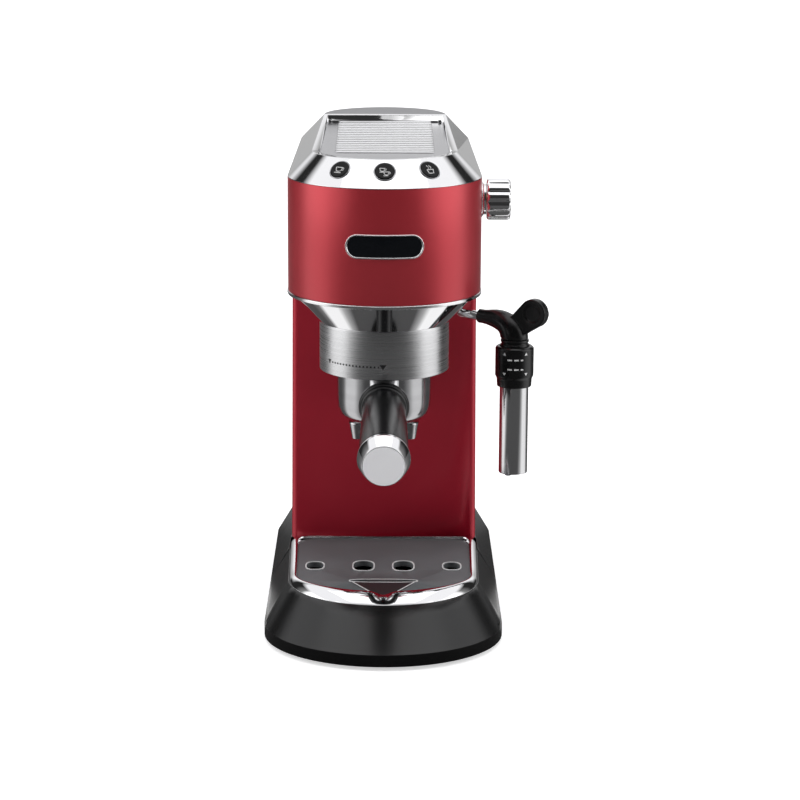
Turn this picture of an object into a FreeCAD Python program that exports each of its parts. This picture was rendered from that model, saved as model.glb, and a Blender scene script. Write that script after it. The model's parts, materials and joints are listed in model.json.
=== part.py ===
"""Pump espresso machine: slim body, bayonet filter holder, steam wand, lift-out tank and drip tray.

Frame: millimetres, +Z up, -Y towards the user, +X to the user's right. The origin lies on the
worktop, under the middle of the base.
"""
import FreeCAD
import Part
import math
import os

V = FreeCAD.Vector
X, Y, Z = V(1, 0, 0), V(0, 1, 0), V(0, 0, 1)

# ---------------------------------------------------------------- overall sizes
BASE_WIDTH = 149.0
BASE_DEPTH = 330.0
FOOT_HEIGHT = 2.0
FIT = 0.3                    # clearance between pieces that move or plug together

# base skirt, shared by the drip tray and the housing behind it
SKIRT_TOP_Z = 30.0
LIP_Z = 10.0
SKIRT_WALL = 2.5
SKIRT_TOP_HALF = 62.0
RIM_NARROW = 1.6              # the skirt's top is this much narrower at the rim's front curve
TRAY_SPLIT_Y = -7.0          # where the drip tray parts from the housing
HOUSING_SPLIT_Y = 76.0       # where the housing parts from the tank cradle
FRONT_ROUND = 66.7           # how far the lip's front curve bulges
REAR_ROUND = 60.0
RIM_Y = -74.7                # where the tray rim's front curve starts
RIM_ROUND = 56.0
TRAY_CORNER = 11.0           # rounding of the tray's two back corners
HOUSING_RISE = 5.0           # the housing's top climbs this much towards the back

# body above the base
HEAD_Y = -22.7               # centre of the head's round front
HEAD_R = 61.5
HEAD_Z0 = 208.0
HEAD_Z1 = 280.6
SHEET = 1.2
REAR_Y = 109.0               # back face of the body, where the tank starts
REAR_HALF = HEAD_R - 4.6
COLUMN_Y = 14.3
COLUMN_CORNER = 4.0
COLUMN_FLARE = 1.2           # the column is this much wider at its foot, each side
CAP_HEIGHT = 16.0
CAP_INSET = 15.5
CAP_REAR_RISE = 7.6
CAP_WALL = 2.2

# cup warmer plate
PLATE_HALF_FRONT = HEAD_R - CAP_INSET - 4.0
PLATE_HALF_REAR = PLATE_HALF_FRONT - 3.0
PLATE_REAR_Y = 104.5
PLATE_DEPTH = 4.0
PLATE_SHEET = 1.0
RIB_COUNT = 18
RIB_HALF = 31.8
RIB_RADIUS = 1.7

# controls
BUTTON_R = 5.95
BUTTON_ANGLE = 32.0
BEZEL_R = BUTTON_R + 1.05
KNOB_Y = 11.0
KNOB_Z = 260.6
KNOB_R = 13.4
KNOB_LENGTH = 15.3
SPINDLE_R = 3.0
BADGE_WIDTH = 48.3
BADGE_HEIGHT = 15.8
BADGE_Z = 245.0
SWITCH_Y = 90.0
SWITCH_Z = 62.0
ROCKER_R = 9.5

# brewing group
GROUP_Y = -30.7
COLLAR_Z0 = 158.3
COLLAR_Z1 = 189.5
BASKET_R = 25.5              # 51 mm filter
SPRING_ROOM = 2.0            # room for the spring between the filter and the bowl
BOWL_WALL = 2.5
BOWL_R = BASKET_R + SPRING_ROOM + BOWL_WALL
BOWL_Z0 = 124.0
BOWL_Z1 = 174.0
LUG_R = BOWL_R + 3.2
GROUP_R = LUG_R + 5.6
COLLAR_R = GROUP_R + 2.5
LUG_Z0 = 165.0
LUG_HEIGHT = 4.0
LUG_ANGLE = 26.0
INSERT_ANGLE = 60.0          # the filter holder goes in this far left of closed
SPOUT_Z = 111.6
SPOUT_X = 16.0

# filter holder handle
HANDLE_LENGTH = 96.0
HANDLE_TILT = 9.75
HANDLE_Z = 141.4
STUD_R = 2.9
HANDLE_Y = -62.0

# steam wand, in its own frame: pivot at the origin, the tube hanging on local +X
WAND_X = 47.0
WAND_Y = 4.0
WAND_HEADING = -33.0
WAND_REACH = 44.1
BALL_Z = 199.0
BALL_R = 6.5
PIPE_R = 3.0
PIPE_Z = 187.0
GRIP_START = 17.5
GRIP_END_R = 4.7
GRIP_R = 8.6
GRIP_Z = 175.0
SLEEVE_Z0 = 144.0
SLEEVE_Z1 = 170.5
SLEEVE_R = 12.4
FROTH_R = 9.3
FROTH_Z = 86.5
TIP_R = 2.6
TIP_OFFSET = 3.0             # the nozzle's outlet sits this far off the tube's axis
TIP_DROP = 1.6
TAB_R = 9.3                  # thumb tab of the grip
TAB_X = 14.0
TAB_Z = 193.0
TAB_HALF = 2.9
DIMPLE_R = 5.8

# water tank
TANK_Y = 109.8
TANK_Z0 = 35.6
TANK_Z1 = 287.0
TANK_HALF = 56.5
TANK_ROUND = 47.2
TANK_WALL = 2.0
LID_TOP_HALF = 41.3
LID_TOP_ROUND = 43.0
LID_EDGE_R = 3.6             # the lid's front edge is round about its pins
LID_PIN_R = 1.2
LID_EAR_R = 2.3
LID_EAR_X = 31.0
WELL_LIP = 10.0              # height of the cradle's rim around the tank

# drip tray inside
BASIN_HALF = 55.8
BASIN_FLOOR = 6.0
GRID_Z = 31.5
GRID_SHEET = 1.0
GRID_HALF = 56.2
BASIN_UNDER_Z = 5.4          # underside of the basin's floor
BASIN_RIM_DROP = 0.5         # the basin's wall ends this far below the skirt's top
RIM_WIDTH_FRONT = 14.0
RIM_TOP_Z = 33.2
RIM_BEVEL_FRONT = 5.0        # first, steep part of the rim's front bevel
RIM_MID_TILT = 0.78          # the rim's edges climb this many degrees towards the front
RIM_TOP_TILT = 1.33
RIM_LEDGE = 2.0              # width of the ledge that carries the grid
CUP_SLOT_Y = -51.6
CUP_SLOTS = ((12.8, 13.0, 22.0), (44.0, 11.0, 17.0))     # place, width and length of each pair
SLOT_COLLAR = 0.8            # wall of the collars under the slots
SLOT_COLLAR_DROP = 3.4
FLOAT_Y = -84.0
FLOAT_SLOT_WIDTH = 40.0
FLOAT_SLOT_LENGTH = 6.0
FLOAT_HALF = 10.4
FLOAT_DEPTH_HALF = 8.0
FLOAT_TOP_Z = 15.0
FLAG_HALF = 9.0
FLAG_DEPTH_HALF = 2.0
FLAG_TOP_Z = 27.0
GUIDE_X = 11.0
GUIDE_WALL = 2.0
GUIDE_TOP_Z = 16.0

# base plate, its feet and screws
BASE_SHEET = 2.6
FOOT_R = 9.0
FOOT_PLUG_R = 5.0
FOOT_PLUG_Z = 4.0
FOOT_PLACES = ((0.0, 0.0), (44.0, -122.0), (-44.0, -122.0), (46.0, 122.0), (-46.0, 122.0))
SCREW_R = 1.5
SCREW_HEAD_R = 3.2
SCREW_HEAD_HEIGHT = 1.2
SCREW_LENGTH = 10.0
SCREW_BOSS_R = 4.0
SCREW_BOSS_Z0 = 5.0
SCREW_BOSS_Z1 = 15.0
SCREW_PLACES = [(s * 61.0, y) for y in (30.0, 92.0) for s in (1, -1)]
SPLIT_GAP = 0.4              # gap between the housing and the tank cradle
SHAFT_FIT = 0.06             # radial clearance of screws and the steam spindle

# cord gland
GLAND_BORE = 3.7
GLAND_WALL = 2.2
GLAND_FLANGE = 3.7
GLAND_LENGTH = 20.0
GLAND_X = 30.0
GLAND_Z = 20.0

# column, chassis and rear panel
COLUMN_Z0 = SKIRT_TOP_Z - 7.0
COLUMN_Z1 = HEAD_Z0 - 3.0
COLUMN_BACK = REAR_Y - 4.0   # the column sheet and the head sheet end here behind
CHASSIS_SHEET = 2.2
SHELF_Z = 120.0
SHELF_SHEET = 2.5
REAR_SHEET = 2.6
REAR_RIBS_X = (-36.0, -12.0, 12.0, 36.0)
VENT_HALF = 24.0
VENT_HEIGHT = 3.0
VENT_PITCH = 8.0
VENT_Z0 = 214.0
VENT_COUNT = 6

# head trim, floor and funnel
TRIM_HEIGHT = 2.2
TRIM_PROUD = 0.5
FUNNEL_TOP_R = HEAD_R - 3.5
FUNNEL_WALL = 2.4
BADGE_BORDER = 1.6
BADGE_BORDER_RISE = 1.5
BADGE_FIELD_RISE = 0.9

# brewing group inside
COLLAR_SHEET = 1.2
COLLAR_LIP_R = LUG_R + 1.2
GASKET_HEIGHT = 8.2
GASKET_R = BOWL_R + 1.3
GASKET_BORE = BASKET_R + 0.9
SCREEN_R = GASKET_BORE - 0.2
SCREEN_HOLE_R = 0.9
SCREEN_RINGS = ((7, 8), (12, 14), (17, 20), (22, 26))    # ring radius and number of holes
BASKET_SHEET = 0.5
BASKET_DEPTH = 24.0
BASKET_HOLE_R = 0.6
BASKET_RINGS = ((4, 6), (8, 12), (12, 18), (16, 24), (20, 30))
BLOCK_Z0 = 209.5
BLOCK_Z1 = 238.0

# pump and what is beside it in the column
PUMP_Y = 62.0
METER_X = -34.0
METER_Z = 49.0
HOSE_R = 3.0
PRESSURE_R = 2.5

SIDE_TAPER = (HEAD_R - REAR_HALF) / (REAR_Y - HEAD_Y)
CAP_SLOPE = CAP_REAR_RISE / (REAR_Y - HEAD_Y)
LIP_FRONT_Y = -BASE_DEPTH / 2 + FRONT_ROUND
LIP_REAR_Y = BASE_DEPTH / 2 - REAR_ROUND
SPIGOT_Y = TANK_Y + 18.0
AXIS = V(0, GROUP_Y, 0)        # foot of the brewing group's axis
HOUSING_TOP_Z = SKIRT_TOP_Z + HOUSING_RISE
HANDLE_BODY = HANDLE_LENGTH - 13.0


# ---------------------------------------------------------------- helpers
def box(x0, x1, y0, y1, z0, z1):
    return Part.makeBox(x1 - x0, y1 - y0, z1 - z0, V(x0, y0, z0))


def rod(radius, start, end):
    return Part.makeCylinder(radius, (end - start).Length, start, end - start)


def pipe_piece(outer, inner, start, end):
    return rod(outer, start, end).cut(rod(inner, start, end))


def disc(radius, x, y, z0, z1):
    return Part.makeCylinder(radius, z1 - z0, V(x, y, z0))


def fuse(shapes):
    whole = shapes[0]
    if len(shapes) > 1:
        whole = whole.fuse(shapes[1:])
    return whole.removeSplitter()


def mirrored(shape):
    return shape.mirror(V(0, 0, 0), X)


def side_half(y):
    """Half the body's width at depth y."""
    return HEAD_R - max(0.0, y - HEAD_Y) * SIDE_TAPER


def cap_line(y):
    """Height of the seam between the red head and the cap at depth y."""
    return HEAD_Z1 + max(0.0, y - HEAD_Y) * CAP_SLOPE


def half_round(half, y, depth, side):
    """Half an ellipse from (-half, y) to (half, y), bulging to side (-1 front, 1 rear)."""
    centre, tip, corner = V(0, y, 0), V(0, y + side * depth, 0), V(half, y, 0)
    if abs(half - depth) < 0.01:
        return Part.Arc(V(-half, y, 0), tip, corner).toShape()
    if half > depth:
        return Part.ArcOfEllipse(Part.Ellipse(corner, tip, centre), 0, math.pi).toShape()
    ellipse = Part.Ellipse(tip, corner, centre)
    return Part.ArcOfEllipse(ellipse, -math.pi / 2, math.pi / 2).toShape()


def outline(front_half, front_y, front_depth, rear_half, rear_y, rear_depth=0.0, z=0.0, corner=0.0):
    """A plan outline: round front, sides that may taper, and a flat or round rear."""
    edges = [half_round(front_half, front_y, front_depth, -1)]
    side_y = rear_y - corner
    for s in (1, -1):
        edges.append(Part.LineSegment(V(s * front_half, front_y, 0), V(s * rear_half, side_y, 0)).toShape())
        if corner:
            k = corner * (1 - math.cos(math.pi / 4))
            edges.append(Part.Arc(V(s * rear_half, side_y, 0), V(s * (rear_half - k), rear_y - k, 0),
                                  V(s * (rear_half - corner), rear_y, 0)).toShape())
    if rear_depth:
        edges.append(half_round(rear_half, rear_y, rear_depth, 1))
    else:
        flat = rear_half - corner
        edges.append(Part.LineSegment(V(flat, rear_y, 0), V(-flat, rear_y, 0)).toShape())
    wire = Part.Wire(Part.__sortEdges__(edges))
    wire.translate(V(0, 0, z))
    return wire


def polygon(points):
    return Part.makePolygon(points + [points[0]])


def prism(wire, vector):
    return Part.Face(wire).extrude(vector)


def loft(*wires):
    return Part.makeLoft(list(wires), True, True)


def side_prism(points, half=90.0):
    """A solid of the (y, z) points drawn across the whole width."""
    return prism(polygon([V(-half, y, z) for y, z in points]), V(2 * half, 0, 0))


def revolve(points, centre, axis=Z):
    """Turns (radius, height) points about a vertical axis through centre."""
    wire = polygon([V(r, 0, z) for r, z in points])
    solid = Part.Face(wire).revolve(V(0, 0, 0), Z, 360)
    if axis != Z:
        solid.rotate(V(0, 0, 0), X, -90 if axis == Y else 90)
    solid.translate(centre)
    return solid


def capsule(x, y, width, length, z0, z1):
    """A slot with round ends, standing upright; the longer size sets its direction."""
    r = min(width, length) / 2
    dx, dy = max(0.0, width / 2 - r), max(0.0, length / 2 - r)
    ends = [disc(r, x - dx, y - dy, z0, z1), disc(r, x + dx, y + dy, z0, z1)]
    if dx:
        ends.append(box(x - dx, x + dx, y - r, y + r, z0, z1))
    else:
        ends.append(box(x - r, x + r, y - dy, y + dy, z0, z1))
    return fuse(ends)


def screw(x, y, z, head_r, head_h, shank_r, length):
    """A pan-head screw with its head below z and its shank going up from z."""
    head = disc(head_r, x, y, z - head_h, z)
    shank = disc(shank_r, x, y, z, z + length)
    slot = box(x - head_r, x + head_r, y - 0.4, y + 0.4, z - head_h, z - head_h * 0.5)
    return head.fuse(shank).cut(slot)


def save(shape, name):
    solids = shape.Solids
    keep = solids[0] if len(solids) == 1 else Part.makeCompound(solids)
    keep.exportStep("parts/" + name + ".step")
    volume = sum(s.Volume for s in solids) / 1000
    print(f"{name}: {len(solids)} solid, {volume:.2f} cm3, valid {keep.isValid()}")


# ---------------------------------------------------------------- base and drip tray
def skirt_solid(inset, z_bottom):
    """The whole flared base down to z_bottom, with its walls moved in by inset."""
    half = BASE_WIDTH / 2 - inset
    front, rear = FRONT_ROUND - inset, REAR_ROUND - inset
    top_half = SKIRT_TOP_HALF - inset
    lip = outline(half, LIP_FRONT_Y, front, half, LIP_REAR_Y, rear, z_bottom)
    foot = prism(lip, V(0, 0, LIP_Z - z_bottom))
    low = outline(half, LIP_FRONT_Y, front, half, LIP_REAR_Y, rear, LIP_Z)
    rise = HOUSING_RISE + 3.0
    high = outline(top_half - rise * 0.55, RIM_Y, RIM_ROUND - inset - rise * 0.6,
                   top_half - rise * 0.55, LIP_REAR_Y, rear - 9.0 - rise * 0.5,
                   SKIRT_TOP_Z + rise - inset)
    return fuse([foot, loft(low, high)])


def tray_skirt(inset):
    half = BASE_WIDTH / 2 - inset
    front = FRONT_ROUND - inset
    lip = outline(half, LIP_FRONT_Y, front, half, TRAY_SPLIT_Y, 0, FOOT_HEIGHT + 0.5)
    foot = prism(lip, V(0, 0, LIP_Z - FOOT_HEIGHT - 0.5))
    low = outline(half, LIP_FRONT_Y, front, half, TRAY_SPLIT_Y, 0, LIP_Z)
    high = outline(SKIRT_TOP_HALF - RIM_NARROW - inset, RIM_Y, RIM_ROUND - inset,
                   SKIRT_TOP_HALF - inset, TRAY_SPLIT_Y, 0, SKIRT_TOP_Z - inset)
    return fuse([foot, loft(low, high)])


def rim_outline(inset_side, inset_front, z):
    """The tray rim's plan, moved in at its sides and, by its own amount, at its front."""
    return outline(SKIRT_TOP_HALF - RIM_NARROW - inset_side, RIM_Y, RIM_ROUND - inset_front,
                   SKIRT_TOP_HALF - inset_side, COLUMN_Y - 0.6 - inset_side / 2, 0, z,
                   TRAY_CORNER - inset_side)


def basin_outline(inset, z):
    """The water basin's plan inside its wall, moved in by inset."""
    return outline(BASIN_HALF - inset, RIM_Y, RIM_ROUND - 9.0 - inset, BASIN_HALF - inset,
                   COLUMN_Y - 2.5 - SKIRT_WALL - inset, 0, z, TRAY_CORNER - SKIRT_WALL - inset)


def grid_outline(inset, z):
    """The cup grid's plan, moved in by inset."""
    return outline(GRID_HALF - inset, RIM_Y, RIM_ROUND - RIM_WIDTH_FRONT - FIT - inset,
                   GRID_HALF - inset, COLUMN_Y - 3.6 - inset, 0, z, TRAY_CORNER - 1.0 - inset)


def make_drip_tray():
    """Drip tray with its flared front, its chrome rim, the cup grid and the float."""
    skirt = tray_skirt(0.0)
    basin_out = prism(basin_outline(-SKIRT_WALL, BASIN_UNDER_Z),
                      V(0, 0, SKIRT_TOP_Z - BASIN_RIM_DROP - BASIN_UNDER_Z))
    basin_in = prism(basin_outline(0, BASIN_UNDER_Z + SKIRT_WALL), V(0, 0, SKIRT_TOP_Z))
    hollow = tray_skirt(SKIRT_WALL)
    hollow.translate(V(0, 1.0, -1.0))
    hollow = hollow.fuse(box(-70, 70, TRAY_SPLIT_Y - 3, TRAY_SPLIT_Y + 3, 0, LIP_Z + 6))
    bowl = skirt.cut(hollow).fuse(basin_out).cut(basin_in)
    guide = box(GUIDE_X, GUIDE_X + GUIDE_WALL, FLOAT_Y - 4, FLOAT_Y + 4, BASIN_FLOOR + 1.5, GUIDE_TOP_Z)
    bowl = fuse([bowl, guide, mirrored(guide)])
    save(bowl, "drip_tray_bowl")

    outer_low = rim_outline(0.2, 0.2, SKIRT_TOP_Z + 0.05)
    outer_mid = rim_outline(1.6, RIM_BEVEL_FRONT, RIM_TOP_Z - 1.2)
    outer_top = rim_outline(3.4, RIM_WIDTH_FRONT - 3.0, RIM_TOP_Z)
    for wire, tilt in ((outer_mid, RIM_MID_TILT), (outer_top, RIM_TOP_TILT)):
        wire.rotate(V(0, COLUMN_Y, wire.BoundBox.ZMin), X, -tilt)
    shape = fuse([loft(outer_low, outer_mid), loft(outer_mid, outer_top)])
    hole = prism(grid_outline(-FIT, SKIRT_TOP_Z - 2), V(0, 0, 12))
    ledge = prism(grid_outline(RIM_LEDGE, SKIRT_TOP_Z - 2), V(0, 0, 12))
    seat = GRID_Z - GRID_SHEET
    floor_slab = box(-80, 80, -150, 40, 20, seat)
    rim = shape.cut(hole.cut(floor_slab)).cut(ledge)
    save(rim.removeSplitter(), "drip_tray_rim")

    plate = prism(grid_outline(0, GRID_Z - GRID_SHEET), V(0, 0, GRID_SHEET))
    collars = []
    cuts = []
    wider = 2 * SLOT_COLLAR
    for x, width, length in CUP_SLOTS:
        for s in (-1, 1):
            cuts.append(capsule(s * x, CUP_SLOT_Y, width, length, 20, 40))
            collars.append(capsule(s * x, CUP_SLOT_Y, width + wider, length + wider,
                                   GRID_Z - SLOT_COLLAR_DROP, GRID_Z - 0.1))
    cuts.append(capsule(0, FLOAT_Y, FLOAT_SLOT_WIDTH, FLOAT_SLOT_LENGTH, 20, 40))
    collars.append(capsule(0, FLOAT_Y, FLOAT_SLOT_WIDTH + wider, FLOAT_SLOT_LENGTH + wider,
                           GRID_Z - SLOT_COLLAR_DROP + 0.4, GRID_Z + 0.35))
    grid = fuse([plate] + collars).cut(fuse(cuts))
    save(grid, "drip_grid")

    float_body = fuse([box(-FLOAT_HALF, FLOAT_HALF, FLOAT_Y - FLOAT_DEPTH_HALF, FLOAT_Y + FLOAT_DEPTH_HALF,
                           BASIN_FLOOR + 2.4, FLOAT_TOP_Z),
                       box(-FLAG_HALF, FLAG_HALF, FLOAT_Y - FLAG_DEPTH_HALF, FLOAT_Y + FLAG_DEPTH_HALF,
                           FLOAT_TOP_Z, FLAG_TOP_Z)])
    save(float_body, "level_float")


def make_base():
    """Housing and tank cradle behind the tray, the base plate, its feet and screws."""
    outer = skirt_solid(0.0, FOOT_HEIGHT + 0.5)
    inner = skirt_solid(SKIRT_WALL, FOOT_HEIGHT - 1)
    inner.translate(V(0, 0, -1.0))
    top = side_prism([(-200, SKIRT_TOP_Z), (TRAY_SPLIT_Y, SKIRT_TOP_Z),
                      (LIP_REAR_Y, HOUSING_TOP_Z),
                      (200, HOUSING_TOP_Z), (200, 80), (-200, 80)])
    roof = side_prism([(TRAY_SPLIT_Y, SKIRT_TOP_Z - SKIRT_WALL),
                       (LIP_REAR_Y, HOUSING_TOP_Z - SKIRT_WALL),
                       (200, HOUSING_TOP_Z - SKIRT_WALL), (200, 80),
                       (TRAY_SPLIT_Y, 80)])
    shell = outer.cut(top).cut(inner.cut(roof))
    # the column's foot and the tray's back end reach down into this opening
    pocket = fuse([box(-SKIRT_TOP_HALF - 0.2, SKIRT_TOP_HALF + 0.2, -90, COLUMN_Y + SHEET + 0.6, 0, 60),
                   box(-54, 54, COLUMN_Y + 3, 98, 12, 60)])
    bosses = []
    for x, y in SCREW_PLACES:
        wall_x = math.copysign(BASE_WIDTH / 2, x)
        web = box(min(x, wall_x), max(x, wall_x), y - 1.5, y + 1.5, SCREW_BOSS_Z0, SCREW_BOSS_Z1 - 1)
        bosses.append(fuse([disc(SCREW_BOSS_R, x, y, SCREW_BOSS_Z0, SCREW_BOSS_Z1), web]).common(outer))
    shell = fuse([shell.cut(pocket)] + bosses)
    shell = shell.cut(fuse([disc(SCREW_R + SHAFT_FIT, x, y, 0, SCREW_BOSS_Z1 - 1) for x, y in SCREW_PLACES]))
    front = box(-90, 90, TRAY_SPLIT_Y + 0.2, HOUSING_SPLIT_Y, 0, 60)
    rear = box(-90, 90, HOUSING_SPLIT_Y + SPLIT_GAP, 170, 0, 60)
    housing = shell.common(front)
    save(housing, "base_housing")
    seat_wall = outline(TANK_HALF + 2.4, TANK_Y + 1, 1.4, TANK_HALF + 2.4, TANK_Y + 1.4,
                        TANK_ROUND + 1.8, SKIRT_TOP_Z + 1)
    wall = prism(seat_wall, V(0, 0, HOUSING_RISE - 1 + WELL_LIP))
    well = prism(outline(TANK_HALF + FIT, TANK_Y + 0.6, 1.4, TANK_HALF + FIT, TANK_Y + 1,
                         TANK_ROUND + FIT, HOUSING_TOP_Z), V(0, 0, 30))
    boss = disc(13, 0, SPIGOT_Y, SKIRT_TOP_Z - 12, HOUSING_TOP_Z)
    bore = disc(10.2, 0, SPIGOT_Y, 0, 60)
    gland_hole = rod(GLAND_BORE + GLAND_WALL + 0.1, V(GLAND_X, 140, GLAND_Z), V(GLAND_X, 175, GLAND_Z))
    cradle = fuse([shell.common(rear), wall.cut(well), boss]).cut(bore).cut(gland_hole)
    save(cradle, "tank_cradle")

    edge = SKIRT_WALL + 1.0
    plate = prism(outline(BASE_WIDTH / 2 - edge, LIP_FRONT_Y + 1.5, FRONT_ROUND - edge,
                          BASE_WIDTH / 2 - edge, LIP_REAR_Y, REAR_ROUND - edge, FOOT_HEIGHT),
                  V(0, 0, BASE_SHEET))
    feet, screws = [], []
    for x, y in FOOT_PLACES:
        plug = disc(FOOT_PLUG_R, x, y, FOOT_HEIGHT, FOOT_PLUG_Z)
        feet.append(disc(FOOT_R, x, y, 0, FOOT_HEIGHT).fuse(plug))
        plate = plate.cut(disc(FOOT_PLUG_R, x, y, 0, 10))
    seat = FOOT_HEIGHT + SCREW_HEAD_HEIGHT
    for x, y in SCREW_PLACES:
        plate = plate.cut(disc(SCREW_R + FIT, x, y, 0, 10)).cut(disc(SCREW_HEAD_R + 0.4, x, y, 0, seat))
        screws.append(screw(x, y, seat, SCREW_HEAD_R, SCREW_HEAD_HEIGHT, SCREW_R, SCREW_LENGTH))
    save(plate, "base_plate")
    save(Part.makeCompound(feet), "rubber_feet")
    save(Part.makeCompound(screws), "base_screws")


# ---------------------------------------------------------------- column
def column_outline(inset, grow, z):
    """The column's plan, open work left to the caller: front corners rounded."""
    front, half_f = COLUMN_Y + inset - grow * 0.2, side_half(COLUMN_Y) - inset + grow
    half_r, rear = REAR_HALF - inset + grow, REAR_Y - 1.0
    r = max(0.8, COLUMN_CORNER - inset)
    k = r * (1 - math.cos(math.pi / 4))
    edges = []
    for s in (1, -1):
        edges.append(Part.Arc(V(s * (half_f - r), front, z), V(s * (half_f - k), front + k, z),
                              V(s * half_f, front + r, z)).toShape())
        edges.append(Part.LineSegment(V(s * half_f, front + r, z), V(s * half_r, rear, z)).toShape())
    edges.append(Part.LineSegment(V(-(half_f - r), front, z), V(half_f - r, front, z)).toShape())
    edges.append(Part.LineSegment(V(half_r, rear, z), V(-half_r, rear, z)).toShape())
    return Part.Wire(Part.__sortEdges__(edges))


def make_column():
    """Red column sheet, the black chassis inside it and the rear panel."""
    z0, z1 = COLUMN_Z0, COLUMN_Z1
    outer = loft(column_outline(0, COLUMN_FLARE, z0), column_outline(0, 0, z1))
    inner = loft(column_outline(SHEET, COLUMN_FLARE, z0 - 1), column_outline(SHEET, 0, z1 + 1))
    open_back = box(-70, 70, COLUMN_BACK, REAR_Y + 5, z0 - 2, z1 + 2)
    foot_notch = side_prism([(COLUMN_Y + 0.9, 0), (REAR_Y + 5, 0),
                             (REAR_Y + 5, HOUSING_TOP_Z + 0.2),
                             (LIP_REAR_Y, HOUSING_TOP_Z + 0.2),
                             (COLUMN_Y + 0.9, SKIRT_TOP_Z + 1.2)])
    panel = outer.cut(inner).cut(open_back).cut(foot_notch)
    switch_hole = box(50, 70, SWITCH_Y - 7.2, SWITCH_Y + 7.2, SWITCH_Z - 10.7, SWITCH_Z + 10.7)
    panel = panel.cut(switch_hole)
    save(panel, "column_panel")

    frame_out = loft(column_outline(SHEET + FIT, 0, SKIRT_TOP_Z + 6.5),
                     column_outline(SHEET + FIT, 0, HEAD_Z0 - 4))
    frame_in = loft(column_outline(SHEET + FIT + CHASSIS_SHEET, 0, SKIRT_TOP_Z),
                    column_outline(SHEET + FIT + CHASSIS_SHEET, 0, HEAD_Z0 + 4))
    back_cut = box(-70, 70, REAR_Y - 5.0, REAR_Y + 6, 0, 300)
    shelf = box(-50, 50, 24, 80, SHELF_Z, SHELF_Z + SHELF_SHEET).cut(disc(20, 0, PUMP_Y, 100, 140))
    chassis = frame_out.cut(frame_in).cut(back_cut).cut(switch_hole)
    windows = [box(-70, 70, 34, 78, z, z + 28) for z in (56, 136)]
    chassis = chassis.cut(fuse(windows))
    shelf_ties = [box(s * 54 - 4.5, s * 54 + 4.5, 24, 32, SHELF_Z, SHELF_Z + SHELF_SHEET) for s in (-1, 1)]
    chassis = fuse([chassis, shelf] + [t.common(frame_out) for t in shelf_ties])
    save(chassis, "chassis")

    panel_half = REAR_HALF - SHEET - FIT
    inner_face = REAR_Y - 1.0 - REAR_SHEET
    rear = box(-panel_half, panel_half, inner_face, REAR_Y - 1.0,
               HOUSING_TOP_Z + 0.5, cap_line(REAR_Y) - 1.5)
    ribs = [box(x - 1, x + 1, REAR_Y - 8, inner_face, 60, 195) for x in REAR_RIBS_X]
    vents = []
    for i in range(VENT_COUNT):
        z = VENT_Z0 + i * VENT_PITCH
        vents.append(box(-VENT_HALF, VENT_HALF, REAR_Y - 9, REAR_Y, z, z + VENT_HEIGHT))
    save(fuse([rear] + ribs).cut(fuse(vents)), "rear_panel")


# ---------------------------------------------------------------- head
def head_outline(inset, z, rear_y=REAR_Y - 1.0):
    return outline(HEAD_R - inset, HEAD_Y, HEAD_R - inset, side_half(rear_y) - inset, rear_y, 0, z)


def above_seam(drop=0.0):
    return side_prism([(-120, HEAD_Z1 - drop), (HEAD_Y, HEAD_Z1 - drop),
                       (REAR_Y + 20, cap_line(REAR_Y + 20) - drop), (REAR_Y + 20, 360),
                       (-120, 360)])


def pill(width, height, z, y0, y1):
    """A badge shape seen from the front, drawn from y0 to y1."""
    r = height / 2
    dx = width / 2 - r
    return fuse([rod(r, V(-dx, y0, z), V(-dx, y1, z)), rod(r, V(dx, y0, z), V(dx, y1, z)),
                 box(-dx, dx, min(y0, y1), max(y0, y1), z - r, z + r)])


def head_ring(r0, r1, z0, z1):
    """A ring about the head's round front, from radius r0 to r1."""
    return disc(r1, 0, HEAD_Y, z0, z1).cut(disc(r0, 0, HEAD_Y, z0 - 1, z1 + 1))


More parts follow.
